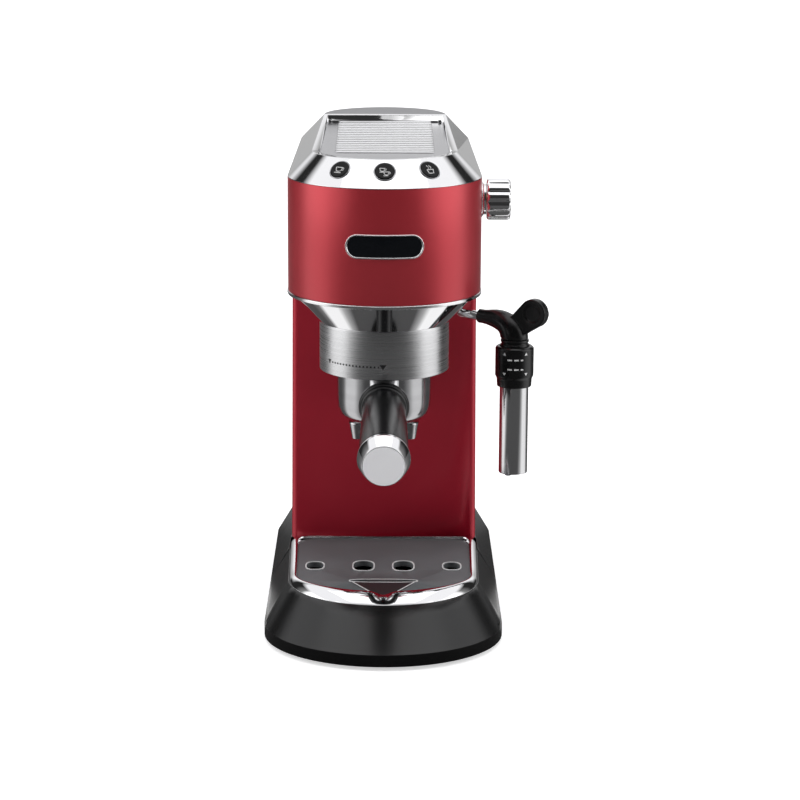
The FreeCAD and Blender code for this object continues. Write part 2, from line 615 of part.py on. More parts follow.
def make_head():
    """Red head sheet, trim ring, floor, funnel, badge."""
    tall = V(0, 0, 100)
    shell = prism(head_outline(0, HEAD_Z0), tall)
    shell = shell.cut(prism(head_outline(SHEET, HEAD_Z0 - 1), tall * 1.02))
    shell = shell.cut(above_seam(0.1)).cut(box(-55, 55, REAR_Y - 3.8, REAR_Y + 5, 180, 330))
    knob_hole = rod(9.2, V(50, KNOB_Y, KNOB_Z), V(70, KNOB_Y, KNOB_Z))
    shell = shell.cut(knob_hole)
    save(shell, "head_shell")

    trim = prism(head_outline(-TRIM_PROUD, HEAD_Z0 - TRIM_HEIGHT - 0.1), V(0, 0, TRIM_HEIGHT))
    trim = trim.cut(prism(head_outline(2.0, HEAD_Z0 - 4, REAR_Y + 2), V(0, 0, 6)))
    trim = trim.cut(box(-80, 80, COLUMN_BACK, REAR_Y + 9, 190, 220))
    save(trim, "head_rim")

    floor = prism(head_outline(2.3, HEAD_Z0 - 2.2, REAR_Y - 4.2), V(0, 0, 2.6))
    column_room = box(-51, 51, COLUMN_Y + 8, REAR_Y - 12, 190, 230)
    group_room = disc(GROUP_R + 0.8, 0, GROUP_Y, 190, 230)
    wand_room = disc(BALL_R + 1.6, WAND_X, WAND_Y, 190, 230)
    floor = floor.cut(fuse([column_room, group_room])).cut(wand_room)
    save(floor, "head_floor")

    high, low = V(0, HEAD_Y, HEAD_Z0 - 2.6), AXIS + Z * (COLLAR_Z1 + 0.1)
    lift = Z * 0.1
    low_r = COLLAR_R + 0.5
    outside = loft(circle_at(low, Z, low_r), circle_at(high, Z, FUNNEL_TOP_R))
    inside = loft(circle_at(low - lift, Z, low_r - FUNNEL_WALL),
                  circle_at(high + lift, Z, FUNNEL_TOP_R - FUNNEL_WALL))
    funnel = outside.cut(inside)
    funnel = funnel.cut(box(-90, 90, COLUMN_Y - 0.4, 200, 150, 240))
    funnel = funnel.cut(disc(BALL_R + 2.4, WAND_X, WAND_Y, 150, 230))
    save(max(funnel.Solids, key=lambda s: s.Volume), "group_funnel")

    border = pill(BADGE_WIDTH, BADGE_HEIGHT, BADGE_Z, -100, HEAD_Y - 20)
    inner = pill(BADGE_WIDTH - 2 * BADGE_BORDER, BADGE_HEIGHT - 2 * BADGE_BORDER, BADGE_Z, -101, HEAD_Y - 19)
    ring = head_ring(HEAD_R + 0.05, HEAD_R + BADGE_BORDER_RISE, BADGE_Z - 20, BADGE_Z + 20)
    field = head_ring(HEAD_R + 0.05, HEAD_R + BADGE_FIELD_RISE, BADGE_Z - 20, BADGE_Z + 20)
    save(border.cut(inner).common(ring), "badge_border")
    save(inner.common(field), "badge_plate")


def cap_solid(inset, drop):
    """The cap's outer form, or its hollow when inset and dropped."""
    r0, r1 = HEAD_R - inset, HEAD_R - CAP_INSET - inset
    z0, z1 = HEAD_Z1 - drop * 2, HEAD_Z1 + CAP_HEIGHT - drop
    cone = Part.makeCone(r0, r1, z1 - z0, V(0, HEAD_Y, z0)).cut(box(-90, 90, HEAD_Y, 90, 200, 400))

    def section(y, half, rise):
        top_half = half - (r0 - r1)
        return polygon([V(-half, y, z0 + rise), V(half, y, z0 + rise),
                        V(top_half, y, z1 + rise), V(-top_half, y, z1 + rise)])

    rear_y = REAR_Y - inset
    rise = CAP_SLOPE * (rear_y - HEAD_Y)
    body = loft(section(HEAD_Y, r0, 0), section(rear_y, side_half(rear_y) - inset, rise))
    return fuse([cone, body])


def plate_slab(low, high):
    """The space between two planes along the cup plate, low and high above its top face."""
    y0, y1 = -90.0, REAR_Y + 10
    base = HEAD_Z1 + CAP_HEIGHT - PLATE_DEPTH

    def z(y, lift):
        return base + (y - HEAD_Y) * CAP_SLOPE + lift

    return side_prism([(y0, z(y0, low)), (y1, z(y1, low)), (y1, z(y1, high)), (y0, z(y0, high))])


def plate_outline(inset, z):
    radius = HEAD_R - CAP_INSET - 4.0 - inset
    return outline(PLATE_HALF_FRONT - inset, HEAD_Y, radius, PLATE_HALF_REAR - inset,
                   PLATE_REAR_Y - inset, 0, z)


def button_frame(angle):
    """Centre and outward direction of a button on the cap's sloping front."""
    slope = math.atan2(CAP_INSET, CAP_HEIGHT)
    heading = math.radians(angle - 90)
    out = V(math.cos(heading), math.sin(heading), 0)
    r = HEAD_R - CAP_INSET * 0.59
    centre = V(0, HEAD_Y, HEAD_Z1 + CAP_HEIGHT * 0.59) + out * r
    return centre, out * math.cos(slope) + Z * math.sin(slope)


def make_cap():
    """Chrome cap with the control band, the ribbed cup plate, buttons and bezels."""
    cap = cap_solid(0, 0)
    hollow = cap_solid(CAP_WALL, CAP_WALL * 0.4)
    keep = prism(plate_outline(-1.6, 200), V(0, 0, 200)).common(plate_slab(-3.4, 30))
    pocket = prism(plate_outline(0, 200), V(0, 0, 200)).common(plate_slab(-PLATE_SHEET, 40))
    through = prism(plate_outline(2.4, 200), V(0, 0, 200))
    cap = cap.cut(hollow.cut(keep)).cut(pocket).cut(through)
    holes = []
    for angle in (-BUTTON_ANGLE, 0, BUTTON_ANGLE):
        centre, axis = button_frame(angle)
        holes.append(rod(BEZEL_R - 0.5, centre - axis * 6, centre + axis * 6))
    cap = cap.cut(Part.makeCompound(holes))
    save(max(cap.Solids, key=lambda s: s.Volume), "top_cap")

    plate = prism(plate_outline(FIT, 200), V(0, 0, 200)).common(plate_slab(-PLATE_SHEET + 0.05, 0.05))
    first, pitch = -9.0, 6.4
    ribs = []
    for i in range(RIB_COUNT):
        y = first + i * pitch
        z = HEAD_Z1 + CAP_HEIGHT - PLATE_DEPTH + (y - HEAD_Y) * CAP_SLOPE - RIB_RADIUS * 0.4
        rib = rod(RIB_RADIUS, V(-RIB_HALF, y, z), V(RIB_HALF, y, z))
        ribs.append(rib.common(box(-90, 90, y - 5, y + 5, z + RIB_RADIUS * 0.3, z + 9)))
    save(fuse([plate] + ribs), "cup_warmer_plate")

    names = {-BUTTON_ANGLE: "button_one_cup", 0: "button_two_cups", BUTTON_ANGLE: "button_steam"}
    bezels = []
    for angle, name in names.items():
        centre, axis = button_frame(angle)
        lip = pipe_piece(BEZEL_R, BUTTON_R + 0.2, centre + axis * 0.1, centre + axis * 1.0)
        sleeve = pipe_piece(BEZEL_R - 0.6, BUTTON_R + 0.2, centre - axis * 2.4, centre + axis * 0.5)
        bezels.append(lip.fuse(sleeve).removeSplitter())
        top = rod(BUTTON_R, centre - axis * 4.2, centre + axis * 1.3)
        rims = [e for e in top.Edges if e.BoundBox.DiagonalLength > 5
                and (e.CenterOfMass - centre).dot(axis) > 0.9 and e.Closed]
        top = top.makeFillet(0.5, rims)
        flange = rod(BEZEL_R - 0.4, centre - axis * 4.2, centre - axis * 3.5)
        save(top.fuse(flange).removeSplitter(), name)
    save(Part.makeCompound(bezels), "button_bezels")

    board = box(-44, 44, -62, -44, 270, 271.6).cut(fuse([disc(1.7, s * 38, -53, 260, 280)
                                                        for s in (-1, 1)]))
    chips = [box(-20, -8, -58, -48, 271.6, 273.4), box(8, 16, -56, -50, 271.6, 273.0),
             box(24, 32, -57, -49, 271.6, 275)]
    save(fuse([board] + chips), "control_board")


def make_knob():
    """Steam knob with its spindle, collar and valve."""
    x0 = side_half(KNOB_Y)
    start = x0 + 5.7
    end = start + KNOB_LENGTH
    core = rod(KNOB_R, V(start, KNOB_Y, KNOB_Z), V(end, KNOB_Y, KNOB_Z))
    rims = [e for e in core.Edges if e.Closed]
    core = core.makeFillet(1.3, rims)
    flutes = []
    for i in range(12):
        a = 2 * math.pi * i / 12
        y, z = KNOB_Y + (KNOB_R + 1.6) * math.cos(a), KNOB_Z + (KNOB_R + 1.6) * math.sin(a)
        flutes.append(rod(2.5, V(start + 1.5, y, z), V(end + 1, y, z)))
    core = core.cut(Part.makeCompound(flutes))
    core = core.cut(rod(SPINDLE_R, V(start - 1, KNOB_Y, KNOB_Z), V(end - 4, KNOB_Y, KNOB_Z)))
    save(core, "steam_knob")
    spindle = rod(SPINDLE_R, V(40, KNOB_Y, KNOB_Z), V(end - 4, KNOB_Y, KNOB_Z))
    save(spindle, "steam_spindle")

    collar = fuse([rod(11.6, V(x0 + 0.9, KNOB_Y, KNOB_Z), V(start - 0.4, KNOB_Y, KNOB_Z)),
                   rod(9.0, V(x0 - 6, KNOB_Y, KNOB_Z), V(x0 + 2, KNOB_Y, KNOB_Z))])
    collar = collar.cut(rod(SPINDLE_R + SHAFT_FIT, V(30, KNOB_Y, KNOB_Z), V(90, KNOB_Y, KNOB_Z)))
    save(collar, "knob_collar")

    y, z = KNOB_Y, KNOB_Z
    valve = fuse([box(20, 44, y - 11, y + 11, z - 12, z + 12), rod(8, V(44, y, z), V(50, y, z)),
                  disc(5, 32, y, z - 20, z - 12), rod(4, V(32, y - 20, z), V(32, y - 11, z))])
    valve = valve.cut(rod(SPINDLE_R + SHAFT_FIT, V(39, y, z), V(60, y, z)))
    save(valve, "steam_valve")


# ---------------------------------------------------------------- brewing group
def sector(r, z0, z1, mid, width):
    """A wedge of a disc about the group's axis; mid 0 points to the user."""
    wedge = Part.makeCylinder(r, z1 - z0, V(0, GROUP_Y, z0), Z, width)
    wedge.rotate(V(0, GROUP_Y, 0), Z, -90 + mid - width / 2)
    return wedge


def make_group():
    """Brushed collar, bayonet ring, gasket, shower screen and the thermoblock above."""
    t = COLLAR_SHEET
    collar = revolve([(COLLAR_R - t, COLLAR_Z0 + t), (COLLAR_R - t, COLLAR_Z1), (COLLAR_R, COLLAR_Z1),
                      (COLLAR_R, COLLAR_Z0 + 0.8), (COLLAR_R - 0.8, COLLAR_Z0),
                      (COLLAR_LIP_R, COLLAR_Z0), (COLLAR_LIP_R, COLLAR_Z0 + t)], AXIS)
    save(collar, "group_collar")

    shelf_r, room_r = BOWL_R + 0.8, LUG_R + 0.5
    top = LUG_Z0 + LUG_HEIGHT + 7.2
    body = disc(GROUP_R, 0, GROUP_Y, COLLAR_Z0 + t + 0.2, 205.0)
    mouth = disc(shelf_r, 0, GROUP_Y, 150, top)
    room = disc(room_r, 0, GROUP_Y, LUG_Z0 - 0.3, LUG_Z0 + LUG_HEIGHT + 0.4)
    notches = [sector(room_r, 150, LUG_Z0 + 2, side - INSERT_ANGLE, LUG_ANGLE + 4)
               for side in (90, -90)]
    seal_room = disc(GASKET_R + 0.1, 0, GROUP_Y, top - 0.1, top + GASKET_HEIGHT + 0.2)
    water = disc(2.5, 0, GROUP_Y, top, 210)
    group = body.cut(fuse([mouth, room, seal_room, water] + notches))
    group = group.cut(disc(3.4, 0, GROUP_Y, top, top + 12))
    save(group, "group_head")

    gasket = disc(GASKET_R, 0, GROUP_Y, top + 0.1, top + 0.1 + GASKET_HEIGHT)
    gasket = gasket.cut(disc(GASKET_BORE, 0, GROUP_Y, 150, 250))
    save(gasket, "group_gasket")
    screen = disc(SCREEN_R, 0, GROUP_Y, top + 4.8, top + 5.8).cut(disc(2.6, 0, GROUP_Y, 150, 250))
    save(screen.cut(hole_rings(SCREEN_RINGS, SCREEN_HOLE_R, 160, 210)), "shower_screen")
    bolt = fuse([disc(5.0, 0, GROUP_Y, top + 2.6, top + 4.7), disc(2.4, 0, GROUP_Y, top + 4.7, top + 16)])
    hexagon = Part.makeCylinder(1.6, 1.4, V(0, GROUP_Y, top + 2.5))
    save(bolt.cut(hexagon), "shower_screw")

    block = box(-38, 38, GROUP_Y - 40, GROUP_Y + 44, BLOCK_Z0, BLOCK_Z1)
    uprights = [e for e in block.Edges if abs(e.Vertexes[0].Z - e.Vertexes[1].Z) > 20]
    block = block.makeFillet(12, uprights)
    neck = disc(24, 0, GROUP_Y, 205.2, BLOCK_Z0)
    lugs = [disc(5, x, GROUP_Y + y, BLOCK_Z0, BLOCK_Z1 + 2) for x in (-33, 33) for y in (-34, 38)]
    heater = [rod(4, V(s * 20, GROUP_Y + 44, 224), V(s * 20, GROUP_Y + 56, 224)) for s in (-1, 1)]
    dome = disc(9, 0, GROUP_Y - 10, BLOCK_Z1, BLOCK_Z1 + 8)
    save(fuse([block, neck, dome] + lugs + heater), "thermoblock")


def hole_rings(rings, radius, z0, z1):
    """Rings of small upright holes about the group's axis."""
    holes = []
    for ring, count in rings:
        for i in range(count):
            a = 2 * math.pi * i / count
            holes.append(disc(radius, ring * math.cos(a), GROUP_Y + ring * math.sin(a), z0, z1))
    return Part.makeCompound(holes)


def handle_place(shape):
    """Lays a piece that was made along +Z from the origin onto the handle's axis."""
    shape.rotate(V(0, 0, 0), X, 90 + HANDLE_TILT)
    shape.translate(V(0, HANDLE_Y, HANDLE_Z))
    return shape


def turned(points, curve):
    """A solid turned about Z: straight points, with curve a smooth run of outer points."""
    edges = []
    spline = Part.BSplineCurve()
    spline.interpolate([V(r, 0, z) for r, z in curve])
    edges.append(spline.toShape())
    chain = [curve[-1]] + points + [curve[0]]
    for a, b in zip(chain, chain[1:]):
        edges.append(Part.LineSegment(V(a[0], 0, a[1]), V(b[0], 0, b[1])).toShape())
    return Part.Face(Part.Wire(Part.__sortEdges__(edges))).revolve(V(0, 0, 0), Z, 360)


def make_portafilter():
    """Filter holder: bowl with lugs and neck, basket, spring, spouts, handle."""
    outside = revolve([(0, BOWL_Z0), (18, BOWL_Z0), (24.5, BOWL_Z0 + 1.8), (28.3, BOWL_Z0 + 5.4),
                       (BOWL_R - 0.4, BOWL_Z0 + 9.5), (BOWL_R, BOWL_Z0 + 14), (BOWL_R, BOWL_Z1),
                       (0, BOWL_Z1)], AXIS)
    inside = revolve([(0, BOWL_Z0 + 3), (16, BOWL_Z0 + 3), (24, BOWL_Z0 + 8),
                      (BOWL_R - BOWL_WALL, BOWL_Z0 + 14), (BOWL_R - BOWL_WALL, BOWL_Z1 + 1),
                      (0, BOWL_Z1 + 1)], AXIS)
    lugs = [sector(LUG_R, LUG_Z0, LUG_Z0 + LUG_HEIGHT, side, LUG_ANGLE).cut(
        disc(BOWL_R - 1, 0, GROUP_Y, 150, 180)) for side in (90, -90)]
    neck = Part.makeCylinder(8.5, 12.0, V(0, 0, -10.5)).fuse(Part.makeCylinder(STUD_R, 40))
    neck = handle_place(neck).cut(disc(BOWL_R - 1, 0, GROUP_Y, 100, 180))
    outlet = disc(5.2, 0, GROUP_Y, BOWL_Z0 - 5, BOWL_Z0 + 5)
    bowl = fuse([outside] + lugs + [neck]).cut(inside).cut(outlet)
    save(bowl, "portafilter_bowl")

    t = BASKET_SHEET
    z0 = BOWL_Z1 - BASKET_DEPTH
    basket = revolve([(0, z0), (BASKET_R - 2, z0), (BASKET_R + t, z0 + 3), (BASKET_R + t, BOWL_Z1 + 0.1),
                      (BOWL_R - 0.5, BOWL_Z1 + 0.1), (BOWL_R - 0.5, BOWL_Z1 + 0.9), (BASKET_R, BOWL_Z1 + 0.9),
                      (BASKET_R, z0 + 3.2), (BASKET_R - 2.2, z0 + t), (0, z0 + t)], AXIS)
    save(basket.cut(hole_rings(BASKET_RINGS, BASKET_HOLE_R, z0 - 1, z0 + 1)), "filter_basket")

    spring = Part.makeTorus(BASKET_R + t + 0.8, 0.7, V(0, GROUP_Y, BOWL_Z1 - 9))
    save(spring, "basket_spring")

    hub = revolve([(0, SPOUT_Z + 3), (10.5, SPOUT_Z + 3), (13, BOWL_Z0 - 0.1), (0, BOWL_Z0 - 0.1)], AXIS)
    spouts = []
    for s in (-1, 1):
        spouts.append(Part.makeCone(4.6, 6.6, BOWL_Z0 - 1.5 - SPOUT_Z, V(s * SPOUT_X, GROUP_Y, SPOUT_Z)))
    bridge = box(-SPOUT_X, SPOUT_X, GROUP_Y - 5.6, GROUP_Y + 5.6, SPOUT_Z + 5, BOWL_Z0 - 1.5)
    screw_stem = disc(5.0, 0, GROUP_Y, BOWL_Z0 - 1, BOWL_Z0 + 4.4)
    spout = fuse([hub, bridge, screw_stem] + spouts)
    channels = [disc(2.6, s * SPOUT_X, GROUP_Y, SPOUT_Z - 1, SPOUT_Z + 9) for s in (-1, 1)]
    gallery = box(-SPOUT_X - 2, SPOUT_X + 2, GROUP_Y - 2.2, GROUP_Y + 2.2, SPOUT_Z + 6.5, SPOUT_Z + 9)
    spout = spout.cut(fuse(channels + [gallery, disc(2.4, 0, GROUP_Y, SPOUT_Z + 7, 140)]))
    save(spout, "double_spout")

    length = HANDLE_BODY
    body = turned([(0, length), (0, 1.6), (13.4, 1.6), (16.0, 3.2), (16.0, 6.4), (14.3, 7.4)],
                  [(13.6, 9.0), (13.7, 24), (14.1, 42), (14.7, 62), (15.3, length)])
    socket = Part.makeCylinder(STUD_R + 0.05, 42)
    save(handle_place(body.cut(socket)), "portafilter_handle")
    ring = Part.Face(polygon([V(0, 0, length + 0.1), V(15.6, 0, length + 0.1), V(16.2, 0, length + 1),
                              V(16.2, 0, length + 2.6), V(13.0, 0, length + 12.4),
                              V(12.6, 0, length + 12.4), V(12.6, 0, length + 11.6),
                              V(0, 0, length + 11.6)])).revolve(V(0, 0, 0), Z, 360)
    save(handle_place(ring), "handle_end_ring")
    plug = Part.makeCylinder(12.5, 1.2, V(0, 0, length + 11.7))
    save(handle_place(plug), "handle_end_disc")


# ---------------------------------------------------------------- steam wand
def wand_place(shape):
    """Moves a piece from the wand's own frame to its place under the head."""
    shape.rotate(V(0, 0, 0), Z, WAND_HEADING)
    shape.translate(V(WAND_X, WAND_Y, 0))
    return shape


def circle_at(point, direction, radius):
    return Part.Wire(Part.makeCircle(radius, point, direction))


def make_wand():
    """Ball-jointed steam pipe, rubber grip, froth tube with its selector and tip."""
    bend = 6.0
    pipe_end = GRIP_START + 14
    down = Part.LineSegment(V(0, 0, BALL_Z - 3), V(0, 0, PIPE_Z + bend)).toShape()
    k = bend * (1 - math.cos(math.pi / 4))
    arc = Part.Arc(V(0, 0, PIPE_Z + bend), V(k, 0, PIPE_Z + k), V(bend, 0, PIPE_Z)).toShape()
    along = Part.LineSegment(V(bend, 0, PIPE_Z), V(pipe_end, 0, PIPE_Z)).toShape()
    path = Part.Wire([down, arc, along])
    profile = circle_at(V(0, 0, BALL_Z - 3), Z, PIPE_R)
    pipe = path.makePipeShell([profile], True, True)
    ball = Part.makeSphere(BALL_R, V(0, 0, BALL_Z))
    save(wand_place(fuse([ball, pipe])), "steam_pipe")

    cup = Part.makeCylinder(BALL_R + 1.5, 11, V(0, 0, BALL_Z - 4.2))
    cup = cup.cut(Part.makeSphere(BALL_R + FIT, V(0, 0, BALL_Z)))
    cup = cup.cut(Part.makeCylinder(4.6, 20, V(0, 0, BALL_Z - 16)))
    save(wand_place(max(cup.Solids, key=lambda s: s.Volume)), "wand_socket")

    reach, half = WAND_REACH, TAB_HALF
    sections = [(V(GRIP_START, 0, PIPE_Z), V(1, 0, 0), GRIP_END_R),
                (V(GRIP_START + 9, 0, PIPE_Z - 0.3), V(1, 0, -0.04), 5.4),
                (V(reach - 9, 0, PIPE_Z - 1.8), V(1, 0, -0.32), 6.9),
                (V(reach - 2.6, 0, PIPE_Z - 6.2), V(0.6, 0, -1), 8.3),
                (V(reach, 0, GRIP_Z), V(0, 0, -1), GRIP_R)]
    elbow = Part.makeLoft([circle_at(p, d, r) for p, d, r in sections], True, False)
    tab_r = TAB_R
    tab_c, low_c = V(reach + TAB_X, 0, TAB_Z), V(reach + 1.5, 0, 181.5)
    tilt = math.atan2(tab_c.z - low_c.z, tab_c.x - low_c.x)
    side = V(-math.sin(tilt), 0, math.cos(tilt))
    web = prism(polygon([tab_c + side * tab_r, low_c + side * 8.0, low_c - side * 6.0,
                         tab_c - side * tab_r]), V(0, 2 * half, 0))
    web.translate(V(0, -half, 0))
    pad = rod(tab_r, tab_c - Y * half, tab_c + Y * half)
    dimples = [rod(DIMPLE_R, tab_c + Y * s * (half - 0.6), tab_c + Y * s * (half + 2)) for s in (-1, 1)]
    grip = fuse([elbow, web, pad]).cut(Part.makeCompound(dimples))
    grip = grip.cut(path.makePipeShell([profile], True, True))
    core_top = GRIP_Z + 6
    grip = grip.cut(Part.makeCylinder(4.0, core_top - 100, V(reach, 0, 100)))
    save(wand_place(grip), "wand_grip")

    tube = revolve([(FROTH_R - 0.8, FROTH_Z), (FROTH_R, FROTH_Z), (FROTH_R, GRIP_Z - 4.5),
                    (9.1, GRIP_Z - 3.6), (9.1, GRIP_Z - 0.3), (4.0, GRIP_Z - 0.3),
                    (4.0, SLEEVE_Z1 - 4), (FROTH_R - 0.8, SLEEVE_Z1 - 8)], V(reach, 0, 0))
    save(wand_place(tube), "froth_tube")
    tip = Part.makeCylinder(TIP_R, 30, V(reach - TIP_OFFSET, 0, FROTH_Z - TIP_DROP))
    core = Part.makeCylinder(3.9, core_top - 0.2 - FROTH_Z - 24, V(reach, 0, FROTH_Z + 24))
    bore = Part.makeCylinder(1.1, core_top, V(reach - TIP_OFFSET * 0.6, 0, FROTH_Z - TIP_DROP))
    save(wand_place(tip.fuse(core).cut(bore)), "steam_nozzle")

    r_in = FROTH_R + 0.25
    sleeve = revolve([(r_in, SLEEVE_Z0), (SLEEVE_R - 1.2, SLEEVE_Z0), (SLEEVE_R - 0.9, SLEEVE_Z0 + 5.5),
                      (SLEEVE_R, SLEEVE_Z0 + 7.0), (SLEEVE_R, SLEEVE_Z1 - 0.9),
                      (SLEEVE_R - 0.9, SLEEVE_Z1), (r_in, SLEEVE_Z1)], V(reach, 0, 0))
    save(wand_place(sleeve), "froth_selector")


# ---------------------------------------------------------------- water tank
def flat_tank(inset, z, y0=TANK_Y):
    """The tank's plan: flat front at y0, round rear."""
    half = TANK_HALF - inset
    front = [Part.LineSegment(V(-half, y0 + inset, 0), V(half, y0 + inset, 0)).toShape(),
             Part.LineSegment(V(half, y0 + inset, 0), V(half, y0 + 2 + inset, 0)).toShape(),
             half_round(half, y0 + 2 + inset, TANK_ROUND - 2 - 2 * inset, 1),
             Part.LineSegment(V(-half, y0 + 2 + inset, 0), V(-half, y0 + inset, 0)).toShape()]
    wire = Part.Wire(Part.__sortEdges__(front))
    wire.translate(V(0, 0, z))
    return wire


def lid_pin():
    """Depth and height of the lid's pins: the lid's top front edge is round about them."""
    return REAR_Y + 0.4 + LID_EDGE_R, cap_line(REAR_Y) + CAP_HEIGHT - 0.2 - LID_EDGE_R


def make_tank():
    """Clear tank with its valve, and the lid hinged on two ears."""
    spigot_y = SPIGOT_Y
    shell = prism(flat_tank(0, TANK_Z0), V(0, 0, TANK_Z1 - TANK_Z0))
    hollow = prism(flat_tank(TANK_WALL, TANK_Z0 + TANK_WALL), V(0, 0, TANK_Z1))
    spigot = disc(9.6, 0, spigot_y, SKIRT_TOP_Z - 2, TANK_Z0 + 1)
    pin_y, pin_z = lid_pin()
    ears = []
    for s in (-1, 1):
        x0, x1 = s * LID_EAR_X - 1.5, s * LID_EAR_X + 1.5
        ears.append(box(x0, x1, pin_y - LID_EAR_R, pin_y + LID_EAR_R, TANK_Z1 - 12, pin_z))
        ears.append(rod(LID_EAR_R, V(x0, pin_y, pin_z), V(x1, pin_y, pin_z)))
    tank = fuse([shell.cut(hollow), spigot] + ears)
    tank = tank.cut(disc(7.4, 0, spigot_y, 20, TANK_Z0 + 4))
    pin_hole = rod(LID_PIN_R + 0.05, V(-40, pin_y, pin_z), V(40, pin_y, pin_z))
    save(tank.cut(pin_hole), "tank_shell")

    t = TANK_Z0
    valve = revolve([(0, t - 8.6), (1.8, t - 8.6), (1.8, t - 6), (6.8, t - 4.6), (6.8, t - 3),
                     (2.2, t - 1.5), (2.2, t + 7), (0, t + 7)], V(0, spigot_y, 0))
    web = fuse([box(-6.9, 6.9, spigot_y - 1, spigot_y + 1, t + 1, t + 3.5),
                box(-1, 1, spigot_y - 6.9, spigot_y + 6.9, t + 1, t + 3.5)])
    guide = revolve([(7.1, t + 1), (7.1, t + 3.5), (6.2, t + 3.5), (6.2, t + 1)], V(0, spigot_y, 0))
    save(fuse([valve, web, guide]), "tank_valve")

    y0 = REAR_Y + 0.4
    z0, z1 = TANK_Z1 + 1.0, pin_z + LID_EDGE_R

    def lid_wire(half, depth, z, front):
        line = Part.LineSegment(V(-half, front, 0), V(half, front, 0)).toShape()
        wire = Part.Wire(Part.__sortEdges__([line, half_round(half, front, depth, 1)]))
        wire.translate(V(0, 0, z))
        return wire

    outer = loft(lid_wire(REAR_HALF, TANK_ROUND + 0.6, z0, y0),
                 lid_wire(LID_TOP_HALF, LID_TOP_ROUND, z1, y0))
    inner = loft(lid_wire(REAR_HALF - 2.4, TANK_ROUND - 3.6, z0 - 0.01, y0 + 1.8),
                 lid_wire(LID_TOP_HALF - 1.2, LID_TOP_ROUND - 3.4, z1 - 2.2, y0 + 1.8))
    edge = rod(LID_EDGE_R, V(-90, pin_y, pin_z), V(90, pin_y, pin_z))
    over_edge = box(-90, 90, y0 - 1, pin_y, pin_z, z1 + 2).cut(edge)
    lid = outer.cut(inner).cut(over_edge)
    room = LID_EAR_R + FIT
    for s in (-1, 1):
        x0, x1 = s * LID_EAR_X - 1.5 - FIT, s * LID_EAR_X + 1.5 + FIT
        slot = fuse([box(x0, x1, y0 - 2, pin_y, z0 - 2, pin_z + room),
                     box(x0, x1, pin_y - 1, pin_y + room, z0 - 2, pin_z),
                     rod(room, V(x0, pin_y, pin_z), V(x1, pin_y, pin_z))])
        lid = lid.cut(slot)
        b0 = s * (LID_EAR_X + 3.8)
        boss = box(b0 - 1.9, b0 + 1.9, pin_y - 2.4, pin_y + 2.4, pin_z - 2.6, z1 - 1.5).common(outer)
        pin = rod(LID_PIN_R, V(s * (LID_EAR_X - 1.6), pin_y, pin_z), V(b0, pin_y, pin_z))
        lid = lid.fuse([boss, pin])
    save(lid.removeSplitter(), "tank_lid")

    coupler = fuse([disc(10.1, 0, spigot_y, 8, 14), disc(12.6, 0, spigot_y, 14, SKIRT_TOP_Z - 12.2),
                    disc(10.1, 0, spigot_y, SKIRT_TOP_Z - 12.2, SKIRT_TOP_Z - 4)])
    coupler = coupler.cut(disc(2.0, 0, spigot_y, 0, 60)).cut(disc(8.2, 0, spigot_y, 20, 60))
    elbow = rod(4, V(0, spigot_y - 16, 11), V(0, spigot_y - 6, 11))
    save(fuse([coupler, elbow]).cut(rod(2, V(0, spigot_y - 18, 11), V(0, spigot_y, 11))), "tank_coupler")


# ---------------------------------------------------------------- inside the column
def bent_hose(points, radius, bend):
    """A hose through points, each corner rounded to the bend radius."""
    edges, start = [], points[0]
    for before, corner, after in zip(points, points[1:], points[2:]):
        a, b = (before - corner).normalize(), (after - corner).normalize()
        angle = a.getAngle(b)
        reach = bend / math.tan(angle / 2)
        p, q = corner + a * reach, corner + b * reach
        middle = corner + (a + b).normalize() * (bend / math.sin(angle / 2) - bend)
        edges.append(Part.LineSegment(start, p).toShape())
        edges.append(Part.Arc(p, middle, q).toShape())
        start = q
    edges.append(Part.LineSegment(start, points[-1]).toShape())
    path = Part.Wire(edges)
    return path.makePipeShell([circle_at(points[0], points[1] - points[0], radius)], True, True)


